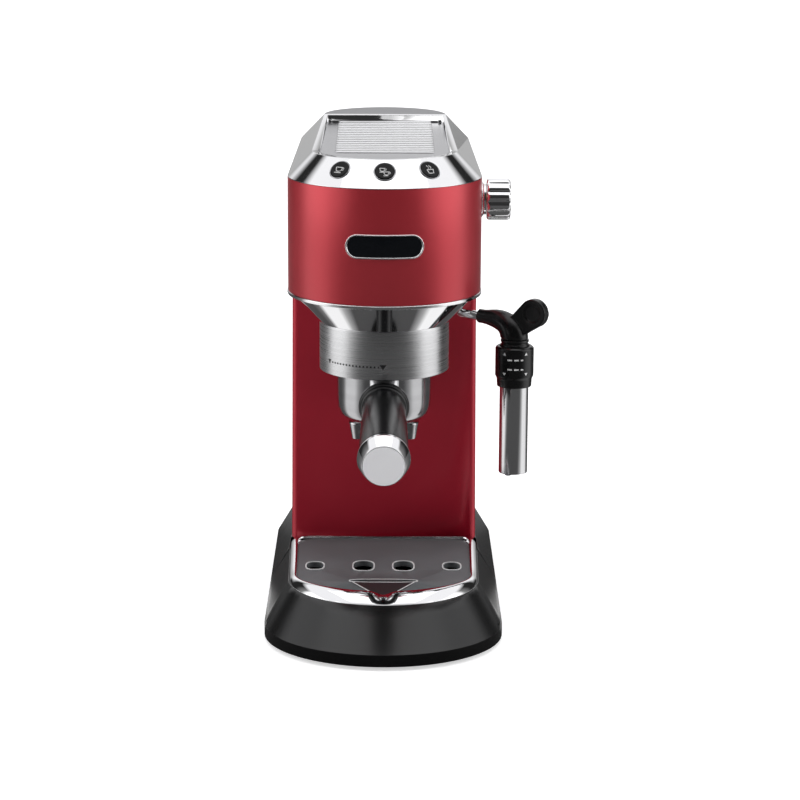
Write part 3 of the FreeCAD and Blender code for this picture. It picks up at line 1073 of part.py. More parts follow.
def make_inside():
    """Pump, flow meter, hoses, power board, switch and cord gland."""
    x, y = 0.0, PUMP_Y
    pump = fuse([disc(11, x, y, 74, 90), box(x - 18, x + 18, y - 16, y + 16, 90, 118),
                 disc(10, x, y, 118, 140), disc(7, x, y, 140, 152), disc(3.4, x, y, 152, 160),
                 disc(3.4, x, y, 64, 74)])
    save(pump, "pump")
    centre = V(METER_X, PUMP_Y, METER_Z)
    meter = fuse([disc(14, METER_X, PUMP_Y, METER_Z - 7, METER_Z + 7),
                  rod(3.2, centre + Y * 11, centre + Y * 22), rod(3.2, centre + X * 13.5, centre + X * 20)])
    save(meter, "flow_meter")
    suction = bent_hose([V(0, SPIGOT_Y - 16.2, 11), V(0, 93, 11), V(METER_X, 93, 11),
                         centre + Y * 31, centre + Y * 22.2], HOSE_R, 5.0)
    save(suction, "suction_hose")
    link = bent_hose([centre + X * 20.2, V(0, PUMP_Y, METER_Z), V(0, PUMP_Y, 63.8)], HOSE_R, 6.0)
    pressure = bent_hose([V(0, PUMP_Y, 160.2), V(0, PUMP_Y, 192), V(-30, PUMP_Y, 192), V(-30, PUMP_Y, 224),
                          V(-30, GROUP_Y + 44.2, 224)], PRESSURE_R, 7.0)
    save(Part.makeCompound([link, pressure]), "pressure_hose")
    board = box(26, 27.6, 30, 86, 130, 196)
    parts = [box(12, 26, 36, 54, 136, 158), box(14, 26, 62, 74, 142, 156), box(18, 26, 40, 70, 168, 186)]
    save(fuse([board] + parts), "power_board")

    wall = side_half(SWITCH_Y) + COLUMN_FLARE * (COLUMN_Z1 - SWITCH_Z) / (COLUMN_Z1 - COLUMN_Z0)
    x_face = wall + 0.9
    axis_x = x_face - ROCKER_R + 1.8
    rocker = rod(ROCKER_R, V(axis_x, SWITCH_Y - 5.4, SWITCH_Z), V(axis_x, SWITCH_Y + 5.4, SWITCH_Z))
    rocker = rocker.common(box(axis_x - 1, axis_x + 40, SWITCH_Y - 6, SWITCH_Y + 6,
                               SWITCH_Z - 20, SWITCH_Z + 20))
    dish = rod(16, V(axis_x + 23.2, SWITCH_Y - 6, SWITCH_Z), V(axis_x + 23.2, SWITCH_Y + 6, SWITCH_Z))
    rocker = rocker.cut(dish)
    rocker = rocker.fuse(rod(1.4, V(axis_x, SWITCH_Y - 6.6, SWITCH_Z), V(axis_x, SWITCH_Y + 6.6, SWITCH_Z)))
    save(rocker, "switch_rocker")
    frame = box(wall - 16, wall + 0.55, SWITCH_Y - 7.0, SWITCH_Y + 7.0, SWITCH_Z - 10.5, SWITCH_Z + 10.5)
    flange = box(wall + 0.55, x_face + 0.5, SWITCH_Y - 8.6, SWITCH_Y + 8.6, SWITCH_Z - 12.4, SWITCH_Z + 12.4)
    room = rod(ROCKER_R + 0.35, V(axis_x, SWITCH_Y - 5.7, SWITCH_Z), V(axis_x, SWITCH_Y + 5.7, SWITCH_Z))
    pivot = rod(1.45, V(axis_x, SWITCH_Y - 6.7, SWITCH_Z), V(axis_x, SWITCH_Y + 6.7, SWITCH_Z))
    save(fuse([frame, flange]).cut(room).cut(pivot), "switch_frame")

    share = math.sqrt(1 - (GLAND_X / (BASE_WIDTH / 2)) ** 2)
    outer_end = V(GLAND_X, LIP_REAR_Y + REAR_ROUND * share - 1.0, GLAND_Z)
    inner_end = outer_end - Y * GLAND_LENGTH
    gland = fuse([rod(GLAND_BORE + GLAND_WALL, inner_end, outer_end),
                  rod(GLAND_BORE + GLAND_FLANGE, inner_end, inner_end + Y * 4)])
    gland = gland.cut(rod(GLAND_BORE, inner_end - Y * 20, outer_end + Y * 20))
    save(gland, "cord_gland")


os.makedirs("parts", exist_ok=True)
make_drip_tray()
make_base()
make_column()
make_head()
make_cap()
make_knob()
make_group()
make_portafilter()
make_wand()
make_tank()
make_inside()
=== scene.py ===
"""Looks of a slim pump espresso machine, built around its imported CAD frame.

Lengths are metres in the frame's own axes: +Z up, -Y towards the user, +X to the user's right.
"""
import json
import logging
import math
from dataclasses import dataclass, field
from enum import Enum
from functools import cache
from typing import Callable, Iterable, Optional, Sequence

import bmesh
import bpy
from mathutils import Matrix, Vector


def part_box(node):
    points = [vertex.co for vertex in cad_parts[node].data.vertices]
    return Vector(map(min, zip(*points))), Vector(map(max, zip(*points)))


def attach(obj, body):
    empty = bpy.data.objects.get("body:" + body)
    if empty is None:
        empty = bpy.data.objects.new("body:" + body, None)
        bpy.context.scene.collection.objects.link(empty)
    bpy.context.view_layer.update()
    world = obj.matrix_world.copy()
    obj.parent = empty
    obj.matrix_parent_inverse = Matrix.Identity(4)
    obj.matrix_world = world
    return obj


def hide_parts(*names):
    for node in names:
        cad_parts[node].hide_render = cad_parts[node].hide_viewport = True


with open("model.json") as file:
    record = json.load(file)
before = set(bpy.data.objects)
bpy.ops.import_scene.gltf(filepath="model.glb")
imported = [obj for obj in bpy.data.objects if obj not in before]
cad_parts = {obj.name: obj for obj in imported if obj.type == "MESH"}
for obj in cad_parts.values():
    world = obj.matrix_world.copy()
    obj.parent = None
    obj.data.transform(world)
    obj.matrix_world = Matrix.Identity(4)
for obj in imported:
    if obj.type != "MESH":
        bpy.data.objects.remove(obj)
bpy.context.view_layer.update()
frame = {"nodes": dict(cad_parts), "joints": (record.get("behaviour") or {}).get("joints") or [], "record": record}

MM = 0.001
MASK_RANGE = (0.25, 0.75)       # the part of a noise mask that finishes spread their values over
LOG = logging.getLogger("espresso_machine")

Point = tuple[float, float]
Grid = list[list[Vector]]


class Axis(Enum):
    """Row axes that a turned piece can be laid along."""

    X = Vector((1.0, 0.0, 0.0))
    Z = Vector((0.0, 0.0, 1.0))


# ---------------------------------------------------------------- nodes
class Wiring:
    """Adds and joins nodes in one tree."""

    def __init__(self, tree: bpy.types.NodeTree) -> None:
        """Takes the tree to work in."""
        self.tree = tree

    def fill(self, node: bpy.types.Node, inputs: dict[str | int, object]) -> None:
        """Sets a node's inputs.

        Args:
            node: the node.
            inputs: input name or index to a value, or to the socket that feeds it.
        """
        for label, value in inputs.items():
            if isinstance(value, bpy.types.NodeSocket):
                self.tree.links.new(value, node.inputs[label])
            else:
                node.inputs[label].default_value = value

    def add(self, kind: str, inputs: Optional[dict[str | int, object]] = None,
            **settings: object) -> bpy.types.Node:
        """Adds a node.

        Args:
            kind: the node's type.
            inputs: what fill takes.
            settings: the node's own settings, made before its inputs.

        Returns:
            The node.
        """
        node = self.tree.nodes.new(kind)
        for label, value in settings.items():
            setattr(node, label, value)
        self.fill(node, inputs or {})
        return node

    def math(self, operation: str, *values: object) -> bpy.types.NodeSocket:
        """The result of a maths node on up to three values or sockets."""
        return self.add("ShaderNodeMath", dict(enumerate(values)), operation=operation).outputs[0]

    def mixed(self, factor: object, low: object, high: object) -> bpy.types.NodeSocket:
        """A mix of two colours."""
        return self.add("ShaderNodeMix", {"Factor": factor, "A": low, "B": high},
                        data_type="RGBA").outputs["Result"]

    def open(self, kinds: dict[str, str], outputs: dict[str, str]) -> None:
        """Gives a group its input and output sockets and the nodes that hold them.

        Args:
            kinds: input name to socket type.
            outputs: output name to socket type.
        """
        for way, sockets in (("INPUT", kinds), ("OUTPUT", outputs)):
            for label, kind in sockets.items():
                self.tree.interface.new_socket(label, in_out=way, socket_type="NodeSocket" + kind)
        self.given = self.add("NodeGroupInput").outputs
        self.result = self.add("NodeGroupOutput")


class Groups:
    """Shader node groups that more than one finish uses, each built once."""

    @staticmethod
    def _open(name: str, inputs: Iterable[str], outputs: Iterable[str]) -> Wiring:
        """An empty shader group of float inputs and outputs."""
        wiring = Wiring(bpy.data.node_groups.new(name, "ShaderNodeTree"))
        wiring.open(dict.fromkeys(inputs, "Float"), dict.fromkeys(outputs, "Float"))
        return wiring

    @classmethod
    @cache
    def grain(cls) -> bpy.types.NodeTree:
        """Moulded or sprayed surface: a fine height and a broad mottle."""
        w = cls._open("grain", ("Scale", "Mottle Scale"), ("Height", "Mottle"))
        place = w.add("ShaderNodeTexCoord").outputs["Object"]
        for label, scale in (("Height", "Scale"), ("Mottle", "Mottle Scale")):
            noise = w.add("ShaderNodeTexNoise", {"Detail": 3.0, "Vector": place, "Scale": w.given[scale]})
            w.fill(w.result, {label: noise.outputs["Fac"]})
        return w.tree

    @classmethod
    @cache
    def brushing(cls) -> bpy.types.NodeTree:
        """Brushed metal: noise drawn out along the directions whose scale is small."""
        w = cls._open("brushing", ("Scale X", "Scale Y", "Scale Z"), ("Streaks", "Broad"))
        place = w.add("ShaderNodeTexCoord").outputs["Object"]
        scale = w.add("ShaderNodeCombineXYZ", {axis: w.given["Scale " + axis] for axis in "XYZ"})
        drawn = w.add("ShaderNodeVectorMath", {0: place, 1: scale.outputs[0]}, operation="MULTIPLY")
        for label, size in (("Streaks", 1.0), ("Broad", 0.12)):
            noise = w.add("ShaderNodeTexNoise", {"Scale": size, "Detail": 4.0, "Vector": drawn.outputs[0]})
            w.fill(w.result, {label: noise.outputs["Fac"]})
        return w.tree

    @classmethod
    @cache
    def painted_edge_highlight(cls) -> bpy.types.NodeTree:
        """Edges: a mask of painted highlight that is high on an outer edge and breaks up along it."""
        w = cls._open("painted_edge_highlight", ("Radius", "Breakup"), ("Mask",))
        soft = w.add("ShaderNodeBevel", {"Radius": w.given["Radius"]}, samples=4)
        plain = w.add("ShaderNodeNewGeometry")
        dot = w.add("ShaderNodeVectorMath", {0: soft.outputs["Normal"], 1: plain.outputs["Normal"]},
                    operation="DOT_PRODUCT")
        sharp = w.add("ShaderNodeMapRange", {"From Min": 0.995, "From Max": 0.86, "To Min": 0.0,
                                             "To Max": 1.0, "Value": dot.outputs["Value"]})
        place = w.add("ShaderNodeTexCoord").outputs["Object"]
        noise = w.add("ShaderNodeTexNoise", {"Vector": place, "Scale": w.given["Breakup"]})
        w.fill(w.result, {"Mask": w.math("MULTIPLY", sharp.outputs["Result"], noise.outputs["Fac"])})
        return w.tree


# ---------------------------------------------------------------- finishes
@dataclass(frozen=True)
class Finish:
    """A plain coated or moulded surface, and the base of the other finishes.

    Colour varies by the mottle, roughness runs from low to high over it, and outer edges take the
    edge colour as a painted highlight.
    """

    name: str
    colour: tuple[float, float, float]
    roughness: tuple[float, float] = (0.35, 0.45)
    metallic: float = 0.0
    mottle: float = 0.06
    grain_scale: float = 1500.0
    bump: float = 0.05
    coat: float = 0.0
    coat_roughness: float = 0.1
    specular: float = 0.5
    # edge: a lighter colour painted on outer edges as a highlight
    edge: Optional[tuple[float, float, float]] = None
    edge_radius: float = 0.5 * MM
    mottle_scale: float = 18.0
    edge_glint_breakup: float = 160.0

    @property
    def title(self) -> str:
        """The material's name, kept apart from the frame's own plain materials."""
        return "look_" + self.name

    def material(self) -> bpy.types.Material:
        """The finish's material, made on first use."""
        made = bpy.data.materials.get(self.title)
        return made if made else self._build()

    def _masks(self, w: Wiring) -> tuple[bpy.types.NodeSocket, ...]:
        """The masks behind the colour, the roughness and the bump."""
        grain = w.add("ShaderNodeGroup", {"Scale": self.grain_scale, "Mottle Scale": self.mottle_scale},
                      node_tree=Groups.grain()).outputs
        return grain["Mottle"], grain["Mottle"], grain["Height"]

    def _constants(self) -> dict[str, float]:
        """The Principled node's constant values."""
        return {"Metallic": self.metallic, "Specular IOR Level": self.specular,
                "Coat Weight": self.coat, "Coat Roughness": self.coat_roughness}

    def _colour(self, w: Wiring, mask: bpy.types.NodeSocket) -> bpy.types.NodeSocket:
        """The colour, a little darker or lighter by the mask, with a painted highlight mixed in on outer edges."""
        ramp = w.add("ShaderNodeValToRGB", {"Fac": mask})
        ramp.color_ramp.interpolation = "EASE"
        for element, place, way in zip(ramp.color_ramp.elements, MASK_RANGE, (-1.0, 1.0)):
            element.position = place
            element.color = (*(min(1.0, c * (1.0 + way * self.mottle)) for c in self.colour), 1.0)
        if self.edge is None:
            return ramp.outputs["Color"]
        # paint a highlight on outer edges in the edge colour, broken up by noise
        edge_glint = w.add("ShaderNodeGroup", {"Radius": self.edge_radius, "Breakup": self.edge_glint_breakup},
                     node_tree=Groups.painted_edge_highlight())
        return w.mixed(edge_glint.outputs["Mask"], ramp.outputs["Color"], (*self.edge, 1.0))

    def _rough(self, w: Wiring, mask: bpy.types.NodeSocket) -> bpy.types.NodeSocket:
        """The roughness, from its low to its high value over the mask."""
        low, high = self.roughness
        return w.add("ShaderNodeMapRange", {
            "From Min": MASK_RANGE[0], "From Max": MASK_RANGE[1], "To Min": low, "To Max": high,
            "Value": mask}, interpolation_type="SMOOTHSTEP").outputs["Result"]

    def _normal(self, w: Wiring, height: bpy.types.NodeSocket) -> bpy.types.NodeSocket:
        """A height on rounded edges."""
        soft = w.add("ShaderNodeBevel", {"Radius": self.edge_radius}, samples=4)
        return w.add("ShaderNodeBump", {"Strength": self.bump, "Distance": 0.1 * MM, "Height": height,
                                        "Normal": soft.outputs["Normal"]}).outputs["Normal"]

    def _build(self) -> bpy.types.Material:
        """Builds the material."""
        material = bpy.data.materials.new(self.title)
        material.use_nodes = True
        w = Wiring(material.node_tree)
        broad, fine, height = self._masks(w)
        w.fill(w.tree.nodes["Principled BSDF"], self._constants() | {
            "Base Color": self._colour(w, broad), "Roughness": self._rough(w, fine),
            "Normal": self._normal(w, height)})
        return material


@dataclass(frozen=True)
class Brushed(Finish):
    """Metal with fine brush lines along the directions whose scale is small."""

    metallic: float = 1.0
    lines: tuple[float, float, float] = (8.0, 8.0, 4000.0)

    def _masks(self, w: Wiring) -> tuple[bpy.types.NodeSocket, ...]:
        """The masks behind the colour, the roughness and the bump."""
        brush = w.add("ShaderNodeGroup", dict(zip(("Scale X", "Scale Y", "Scale Z"), self.lines)),
                      node_tree=Groups.brushing()).outputs
        return brush["Broad"], brush["Streaks"], brush["Streaks"]


@dataclass(frozen=True)
class Clear(Finish):
    """Clear moulded plastic that light passes through."""

    transmission: float = 0.9
    ior: float = 1.45

    def _constants(self) -> dict[str, float]:
        """The Principled node's constant values, with plain transmission."""
        return super()._constants() | {"Transmission Weight": self.transmission, "IOR": self.ior}


CHROME = Finish("chrome", (0.88, 0.88, 0.89), (0.03, 0.07), 1.0, 0.02, 600.0, 0.004)
BLACK_SATIN = Finish("black_satin", (0.002, 0.002, 0.0021), (0.22, 0.27), bump=0.04, specular=0.5,
                     edge=(0.006, 0.006, 0.0065))
FINISHES: dict[str, Finish] = {
    "black_base": BLACK_SATIN,
    "black_grip": Finish("black_grip", (0.005, 0.005, 0.0055), (0.22, 0.30), grain_scale=900.0, bump=0.06),
    "black_button": Finish("black_button", (0.004, 0.004, 0.0045), (0.12, 0.2), bump=0.02, specular=0.2),
    "black_rubber": Finish("black_rubber", (0.02, 0.02, 0.02), (0.7, 0.85), bump=0.3),
    "red_head": Finish("red_head", (0.58, 0.040, 0.056), (0.33, 0.36), 0.50, 0.03, 2600.0, 0.05,
                       coat=0.25, coat_roughness=0.28, edge=(0.55, 0.08, 0.09)),
    # red_column: the head's red paint made darker, as painted shade from the head above it
    "red_column": Finish("red_column", (0.50, 0.012, 0.034), (0.28, 0.31), 0.2, 0.03, 2600.0, 0.04,
                         edge=(0.45, 0.05, 0.06)),
    "chrome_trim": CHROME,
    "chrome_cap": Finish("chrome_cap", (0.90, 0.90, 0.91), (0.05, 0.09), 1.0, 0.02, 500.0, 0.004),
    "brushed_collar": Brushed("brushed_collar", (0.70, 0.70, 0.71), (0.24, 0.36), bump=0.05,
                              lines=(10.0, 10.0, 3600.0), mottle=0.06),
    "steel_sheet": Brushed("steel_sheet", (0.72, 0.72, 0.73), (0.16, 0.30), bump=0.06,
                           lines=(12.0, 3600.0, 12.0), mottle=0.05),
    "steel_wire": Brushed("steel_wire", (0.55, 0.55, 0.56), (0.2, 0.35), bump=0.05,
                          lines=(900.0, 900.0, 900.0)),
    # plate_steel: a dark grey non-metal painted where the steel grid shows a dark reflection; its light edge
    # colour is a painted highlight
    "plate_steel": Finish("plate_steel", (0.165, 0.172, 0.180), (0.42, 0.50), 0.0, 0.12, 4200.0, 0.14,
                          specular=0.16, edge=(0.6, 0.6, 0.6)),
    "badge_enamel": Finish("badge_enamel", (0.004, 0.005, 0.007), (0.10, 0.16), bump=0.01, specular=0.3),
    "satin_disc": Finish("satin_disc", (0.94, 0.94, 0.96), (0.42, 0.48), 0.0, 0.03, 3000.0, 0.08),
    "cast_aluminium": Finish("cast_aluminium", (0.55, 0.55, 0.54), (0.45, 0.6), 0.9, 0.1, 700.0, 0.4),
    "brass_parts": Brushed("brass_parts", (0.72, 0.50, 0.20), (0.22, 0.34), bump=0.05),
    "silicone": Finish("silicone", (0.42, 0.10, 0.05), (0.5, 0.6), bump=0.05),
    "hose": Finish("hose", (0.62, 0.62, 0.60), (0.35, 0.5), bump=0.03),
    "tank_clear": Clear("tank_clear", (0.55, 0.57, 0.60), (0.05, 0.12), bump=0.01),
    "lid_grey": Finish("lid_grey", (0.26, 0.26, 0.27), (0.42, 0.50), 0.1, 0.03, 1800.0, 0.06),
    "inner_plastic": Finish("inner_plastic", (0.03, 0.03, 0.032), (0.45, 0.6), bump=0.12),
    "white_plastic": Finish("white_plastic", (0.62, 0.62, 0.58), (0.4, 0.5), bump=0.08),
    "float_red": Finish("float_red", (0.5, 0.02, 0.02), (0.35, 0.45), bump=0.05),
    "circuit_board": Finish("circuit_board", (0.02, 0.12, 0.05), (0.3, 0.45), bump=0.2),
}
MARK_DARK = Finish("mark_dark", (0.02, 0.02, 0.022), (0.45, 0.55), bump=0.02)
MARK_LIGHT = Finish("mark_light", (0.90, 0.90, 0.90), (0.4, 0.5), bump=0.02)
# The cup plate's steel in two copies: lighter on the ribs as painted highlight, darker on the sheet between them
# as painted shade.
PLATE_HIGHLIGHTED = Finish("plate_painted_highlight", (0.80, 0.80, 0.81), (0.14, 0.2), 1.0, 0.02, 900.0, 0.002)
PLATE_SHADED = Finish("plate_painted_shade", (0.34, 0.34, 0.35), (0.18, 0.26), 1.0, 0.03, 900.0, 0.002)
RING_STEEL = Finish("ring_steel", (0.42, 0.42, 0.43), (0.06, 0.12), 1.0, 0.03, 600.0, 0.01)
BOWL_STEEL = Brushed("bowl_steel", (0.50, 0.50, 0.51), (0.13, 0.22), bump=0.02,
                     lines=(14.0, 14.0, 1500.0), mottle=0.05)
STEEL_TUBE = Brushed("steel_tube", (0.74, 0.74, 0.75), (0.10, 0.16), bump=0.015,
                     lines=(2400.0, 2400.0, 20.0), mottle=0.02)


# ---------------------------------------------------------------- mesh making
@dataclass(frozen=True)
class Span:
    """A CAD node's lowest and highest corners at rest."""

    low: Vector
    high: Vector

    @classmethod
    def of(cls, node: str) -> "Span":
        """The span of a named node."""
        return cls(*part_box(node))

    @property
    def centre(self) -> Vector:
        """The middle of the span."""
        return (self.low + self.high) / 2

    @property
    def size(self) -> Vector:
        """The span's three sizes."""
        return self.high - self.low


@dataclass
class Piece:
    """One visible piece: what it is called, what it rides on and what it is made of."""

    name: str
    body: str
    slot: str
    finish: Optional[Finish] = None
    replaces: tuple[str, ...] = ()
    smooth_angle: float = math.radians(35)

    def dress(self, mesh: bpy.types.Mesh) -> bpy.types.Object:
        """Makes the object from its finished mesh and places it on its body.

        Args:
            mesh: the piece's mesh, in the row frame.

        Returns:
            The object, already riding.
        """
        mesh.name = self.name
        obj = bpy.data.objects.new(self.name, mesh)
        bpy.context.scene.collection.objects.link(obj)
        finish = self.finish or FINISHES[self.slot]
        mesh.materials.clear()
        mesh.materials.append(finish.material())
        for face in mesh.polygons:
            face.material_index = 0
        mesh.shade_smooth()
        mesh.set_sharp_from_angle(angle=self.smooth_angle)
        if self.replaces:
            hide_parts(*self.replaces)
        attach(obj, self.body)
        LOG.info("%s rides on %s with %d faces", self.name, self.body, len(mesh.polygons))
        return obj


class Shape:
    """Meshes worked out from profiles, rings and outlines."""

    @staticmethod
    def clean(mesh: bpy.types.Mesh, gap: float = 1e-6) -> bpy.types.Mesh:
        """Merges doubles and points every face outwards."""
        work = bmesh.new()
        work.from_mesh(mesh)
        bmesh.ops.remove_doubles(work, verts=work.verts, dist=gap)
        bmesh.ops.dissolve_degenerate(work, dist=gap, edges=work.edges)
        bmesh.ops.recalc_face_normals(work, faces=work.faces)
        work.to_mesh(mesh)
        work.free()
        return mesh

    @classmethod
    def grid(cls, rows: Grid, close_columns: bool = False,
             cap: bool = False) -> bpy.types.Mesh:
        """Skins a grid of points, each row's last point joined to its first.

        Args:
            rows: rows of points, all of one length.
            close_columns: joins the last row to the first.
            cap: closes the first and last row with a face.

        Returns:
            The cleaned mesh.
        """
        wide = len(rows[0])
        faces = []
        for i in range(len(rows) if close_columns else len(rows) - 1):
            for j in range(wide):
                a, b = i * wide, ((i + 1) % len(rows)) * wide
                k = (j + 1) % wide
                faces.append((a + j, a + k, b + k, b + j))
        if cap:
            faces.append(tuple(range(wide)))
            faces.append(tuple(range((len(rows) - 1) * wide, len(rows) * wide)))
        mesh = bpy.data.meshes.new("grid")
        mesh.from_pydata([p for row in rows for p in row], [], faces)
        return cls.clean(mesh)

    @classmethod
    def skinned(cls, rows: Grid, **closing: bool) -> bpy.types.Mesh:
        """Skins rows that each follow one outline, taken column by column."""
        return cls.grid([list(column) for column in zip(*rows)], **closing)

    @classmethod
    def turned(cls, profile: Sequence[Point], centre: Vector, tilt: Optional[Matrix] = None,
               segments: int = 96) -> bpy.types.Mesh:
        """Turns a closed profile of (radius, height) about an axis through centre.

        Args:
            profile: the section, as a closed run of points.
            centre: where height 0 lies.
            tilt: turns +Z to the piece's own axis.
            segments: how many steps go round.

        Returns:
            The cleaned mesh.
        """
        turn = tilt or Matrix.Identity(3)
        rows = []
        for i in range(segments):
            angle = 2 * math.pi * i / segments
            side = Vector((math.cos(angle), math.sin(angle), 0.0))
            rows.append([centre + turn @ (side * r + Axis.Z.value * h) for r, h in profile])
        return cls.grid(rows, close_columns=True)

    @staticmethod
    def eased(points: Sequence[Point], radius: float, steps: int = 4) -> list[Point]:
        """Rounds the corners of a closed profile.

        Args:
            points: the profile's corners.
            radius: how far from each corner the rounding starts, at most.
            steps: points along each rounded corner.

        Returns:
            The rounded profile. Corners on the axis stay sharp.
        """
        out: list[Point] = []
        count = len(points)
        for i, (r, h) in enumerate(points):
            before, here, after = (Vector(points[i - 1]), Vector((r, h)), Vector(points[(i + 1) % count]))
            back, ahead = before - here, after - here
            if r <= 1e-9 or back.length < 1e-9 or ahead.length < 1e-9:
                out.append((r, h))
                continue
            reach = min(radius, back.length * 0.45, ahead.length * 0.45)
            start, end = here + back.normalized() * reach, here + ahead.normalized() * reach
            for k in range(steps + 1):
                t = k / steps
                p = start * (1 - t) ** 2 + here * 2 * t * (1 - t) + end * t * t
                out.append((max(p.x, 0.0), p.y))
        return out

    @classmethod
    def lathe(cls, section: Sequence[Point], ease: float, steps: int, centre: Vector,
              tilt: Optional[Matrix] = None, segments: int = 96) -> bpy.types.Mesh:
        """Turns a section of (radius, height) after easing its corners.

        Args:
            section: the corners, in millimetres.
            ease: how far from a corner its rounding starts, in millimetres.
            steps: points along each rounded corner.
            centre: where height 0 lies, in metres.
            tilt: turns +Z to the piece's own axis.
            segments: how many steps go round.

        Returns:
            The cleaned mesh.
        """
        profile = cls.eased([(r * MM, h * MM) for r, h in section], ease * MM, steps)
        return cls.turned(profile, centre, tilt, segments)

    @staticmethod
    def copied(node: str) -> bpy.types.Mesh:
        """A merged copy of a CAD node's mesh."""
        mesh = frame["nodes"][node].data.copy()
        work = bmesh.new()
        work.from_mesh(mesh)
        bmesh.ops.remove_doubles(work, verts=work.verts, dist=2e-6)
        work.to_mesh(mesh)
        work.free()
        return mesh

    @staticmethod
    def joined(meshes: Iterable[bpy.types.Mesh]) -> bpy.types.Mesh:
        """Several meshes as one."""
        work = bmesh.new()
        for mesh in meshes:
            work.from_mesh(mesh)
        whole = bpy.data.meshes.new("joined")
        work.to_mesh(whole)
        work.free()
        return whole

    @staticmethod
    def slab(outline: Sequence[Vector], rise: Vector) -> bpy.types.Mesh:
        """A flat outline given thickness along rise."""
        rows = [list(outline), [p + rise for p in outline]]
        return Shape.grid(rows, cap=True)


# ---------------------------------------------------------------- repeats by geometry nodes
class Repeat:
    """Geometry Nodes trees that set copies of a small mesh along a line or an arc."""

    @staticmethod
    def _open(name: str, floats: Iterable[str]) -> Wiring:
        """An empty tree with a geometry output, a Count input and named float inputs."""
        w = Wiring(bpy.data.node_groups.new(name, "GeometryNodeTree"))
        w.open({"Count": "Int", **dict.fromkeys(floats, "Float"), "Part": "Object", "Finish": "Material"},
               {"Geometry": "Geometry"})
        return w

    @staticmethod
    def _place(w: Wiring, points: dict[str, object]) -> bpy.types.NodeTree:
        """Sets the part on the points, realizes the copies and gives them their finish."""
        part = w.add("GeometryNodeObjectInfo", {"Object": w.given["Part"]})
        copies = w.add("GeometryNodeInstanceOnPoints", {"Instance": part.outputs["Geometry"], **points})
        real = w.add("GeometryNodeRealizeInstances", {"Geometry": copies.outputs["Instances"]})
        coat = w.add("GeometryNodeSetMaterial", {"Geometry": real.outputs["Geometry"],
                                                 "Material": w.given["Finish"]})
        w.fill(w.result, {"Geometry": coat.outputs["Geometry"]})
        return w.tree

    @classmethod
    def line_tree(cls) -> bpy.types.NodeTree:
        """Copies from a start point on, each one step further."""
        w = cls._open("repeat_on_line", [f"{word} {axis}" for word in ("Start", "Step") for axis in "XYZ"])
        line = w.add("GeometryNodeMeshLine", {"Count": w.given["Count"]}, mode="OFFSET")
        for word, socket in (("Start", "Start Location"), ("Step", "Offset")):
            join = w.add("ShaderNodeCombineXYZ", {axis: w.given[f"{word} {axis}"] for axis in "XYZ"})
            w.fill(line, {socket: join.outputs[0]})
        return cls._place(w, {"Points": line.outputs["Mesh"]})

    @classmethod
    def arc_tree(cls) -> bpy.types.NodeTree:
        """Copies round a vertical axis through the origin, each one turn further."""
        w = cls._open("repeat_on_arc", ("First", "Turn", "Height"))
        lift = w.add("ShaderNodeCombineXYZ", {"Z": w.given["Height"]})
        line = w.add("GeometryNodeMeshLine", {"Count": w.given["Count"], "Offset": (0.0, 0.0, 0.0),
                                              "Start Location": lift.outputs[0]})
        index = w.add("GeometryNodeInputIndex").outputs[0]
        turn = w.math("MULTIPLY_ADD", index, w.given["Turn"], w.given["First"])
        spin = w.add("ShaderNodeCombineXYZ", {"Z": turn})
        return cls._place(w, {"Points": line.outputs["Mesh"], "Rotation": spin.outputs[0]})

    @staticmethod
    def run(tree: bpy.types.NodeTree, part: bpy.types.Mesh, finish: Finish,
            values: dict[str, float]) -> bpy.types.Mesh:
        """Runs a tree once and returns its copies as a plain mesh.

        Args:
            tree: the tree to run.
            part: the small mesh to repeat.
            finish: the copies' finish.
            values: input name to value, with Count among them.

        Returns:
            The plain mesh of all copies.
        """
        part_object = bpy.data.objects.new("repeat_part", part)
        host = bpy.data.objects.new("repeat_host", bpy.data.meshes.new("repeat_host"))
        for obj in (part_object, host):
            bpy.context.scene.collection.objects.link(obj)
        modifier = host.modifiers.new("repeat", "NODES")
        modifier.node_group = tree
        settings = {**values, "Part": part_object, "Finish": finish.material()}
        for item in tree.interface.items_tree:
            if item.in_out == "INPUT":
                modifier[item.identifier] = settings[item.name]
        bpy.context.view_layer.update()
        graph = bpy.context.evaluated_depsgraph_get()
        mesh = bpy.data.meshes.new_from_object(host.evaluated_get(graph))
        host.modifiers.remove(modifier)
        for obj in (part_object, host):
            bpy.data.objects.remove(obj)
        return mesh


def racetrack(front_half: float, front_y: float, rear_half: float, rear_y: float,
              steps: int = 64, front_depth: Optional[float] = None) -> list[Point]:
    """Plan of the body: a round front between two straight, slightly tapering sides.

    Args:
        front_half: half the width at the front curve.
        front_y: depth at which the front curve starts.
        rear_half: half the width at the back.
        rear_y: depth of the back.
        steps: steps along the front curve.
        front_depth: how far the front curve bulges, where it is not a half circle.

    Returns:
        Points from the right back corner round the front to the left back corner.
    """
    depth = front_half if front_depth is None else front_depth
    side_steps = 12
    points = []
    for i in range(side_steps):
        t = i / side_steps
        points.append((rear_half + (front_half - rear_half) * t, rear_y + (front_y - rear_y) * t))
    for i in range(steps + 1):
        angle = math.pi * i / steps
        points.append((front_half * math.cos(angle), front_y - depth * math.sin(angle)))
    for i in range(1, side_steps + 1):
        t = i / side_steps
        points.append((-front_half + (front_half - rear_half) * t, front_y + (rear_y - front_y) * t))
    return points


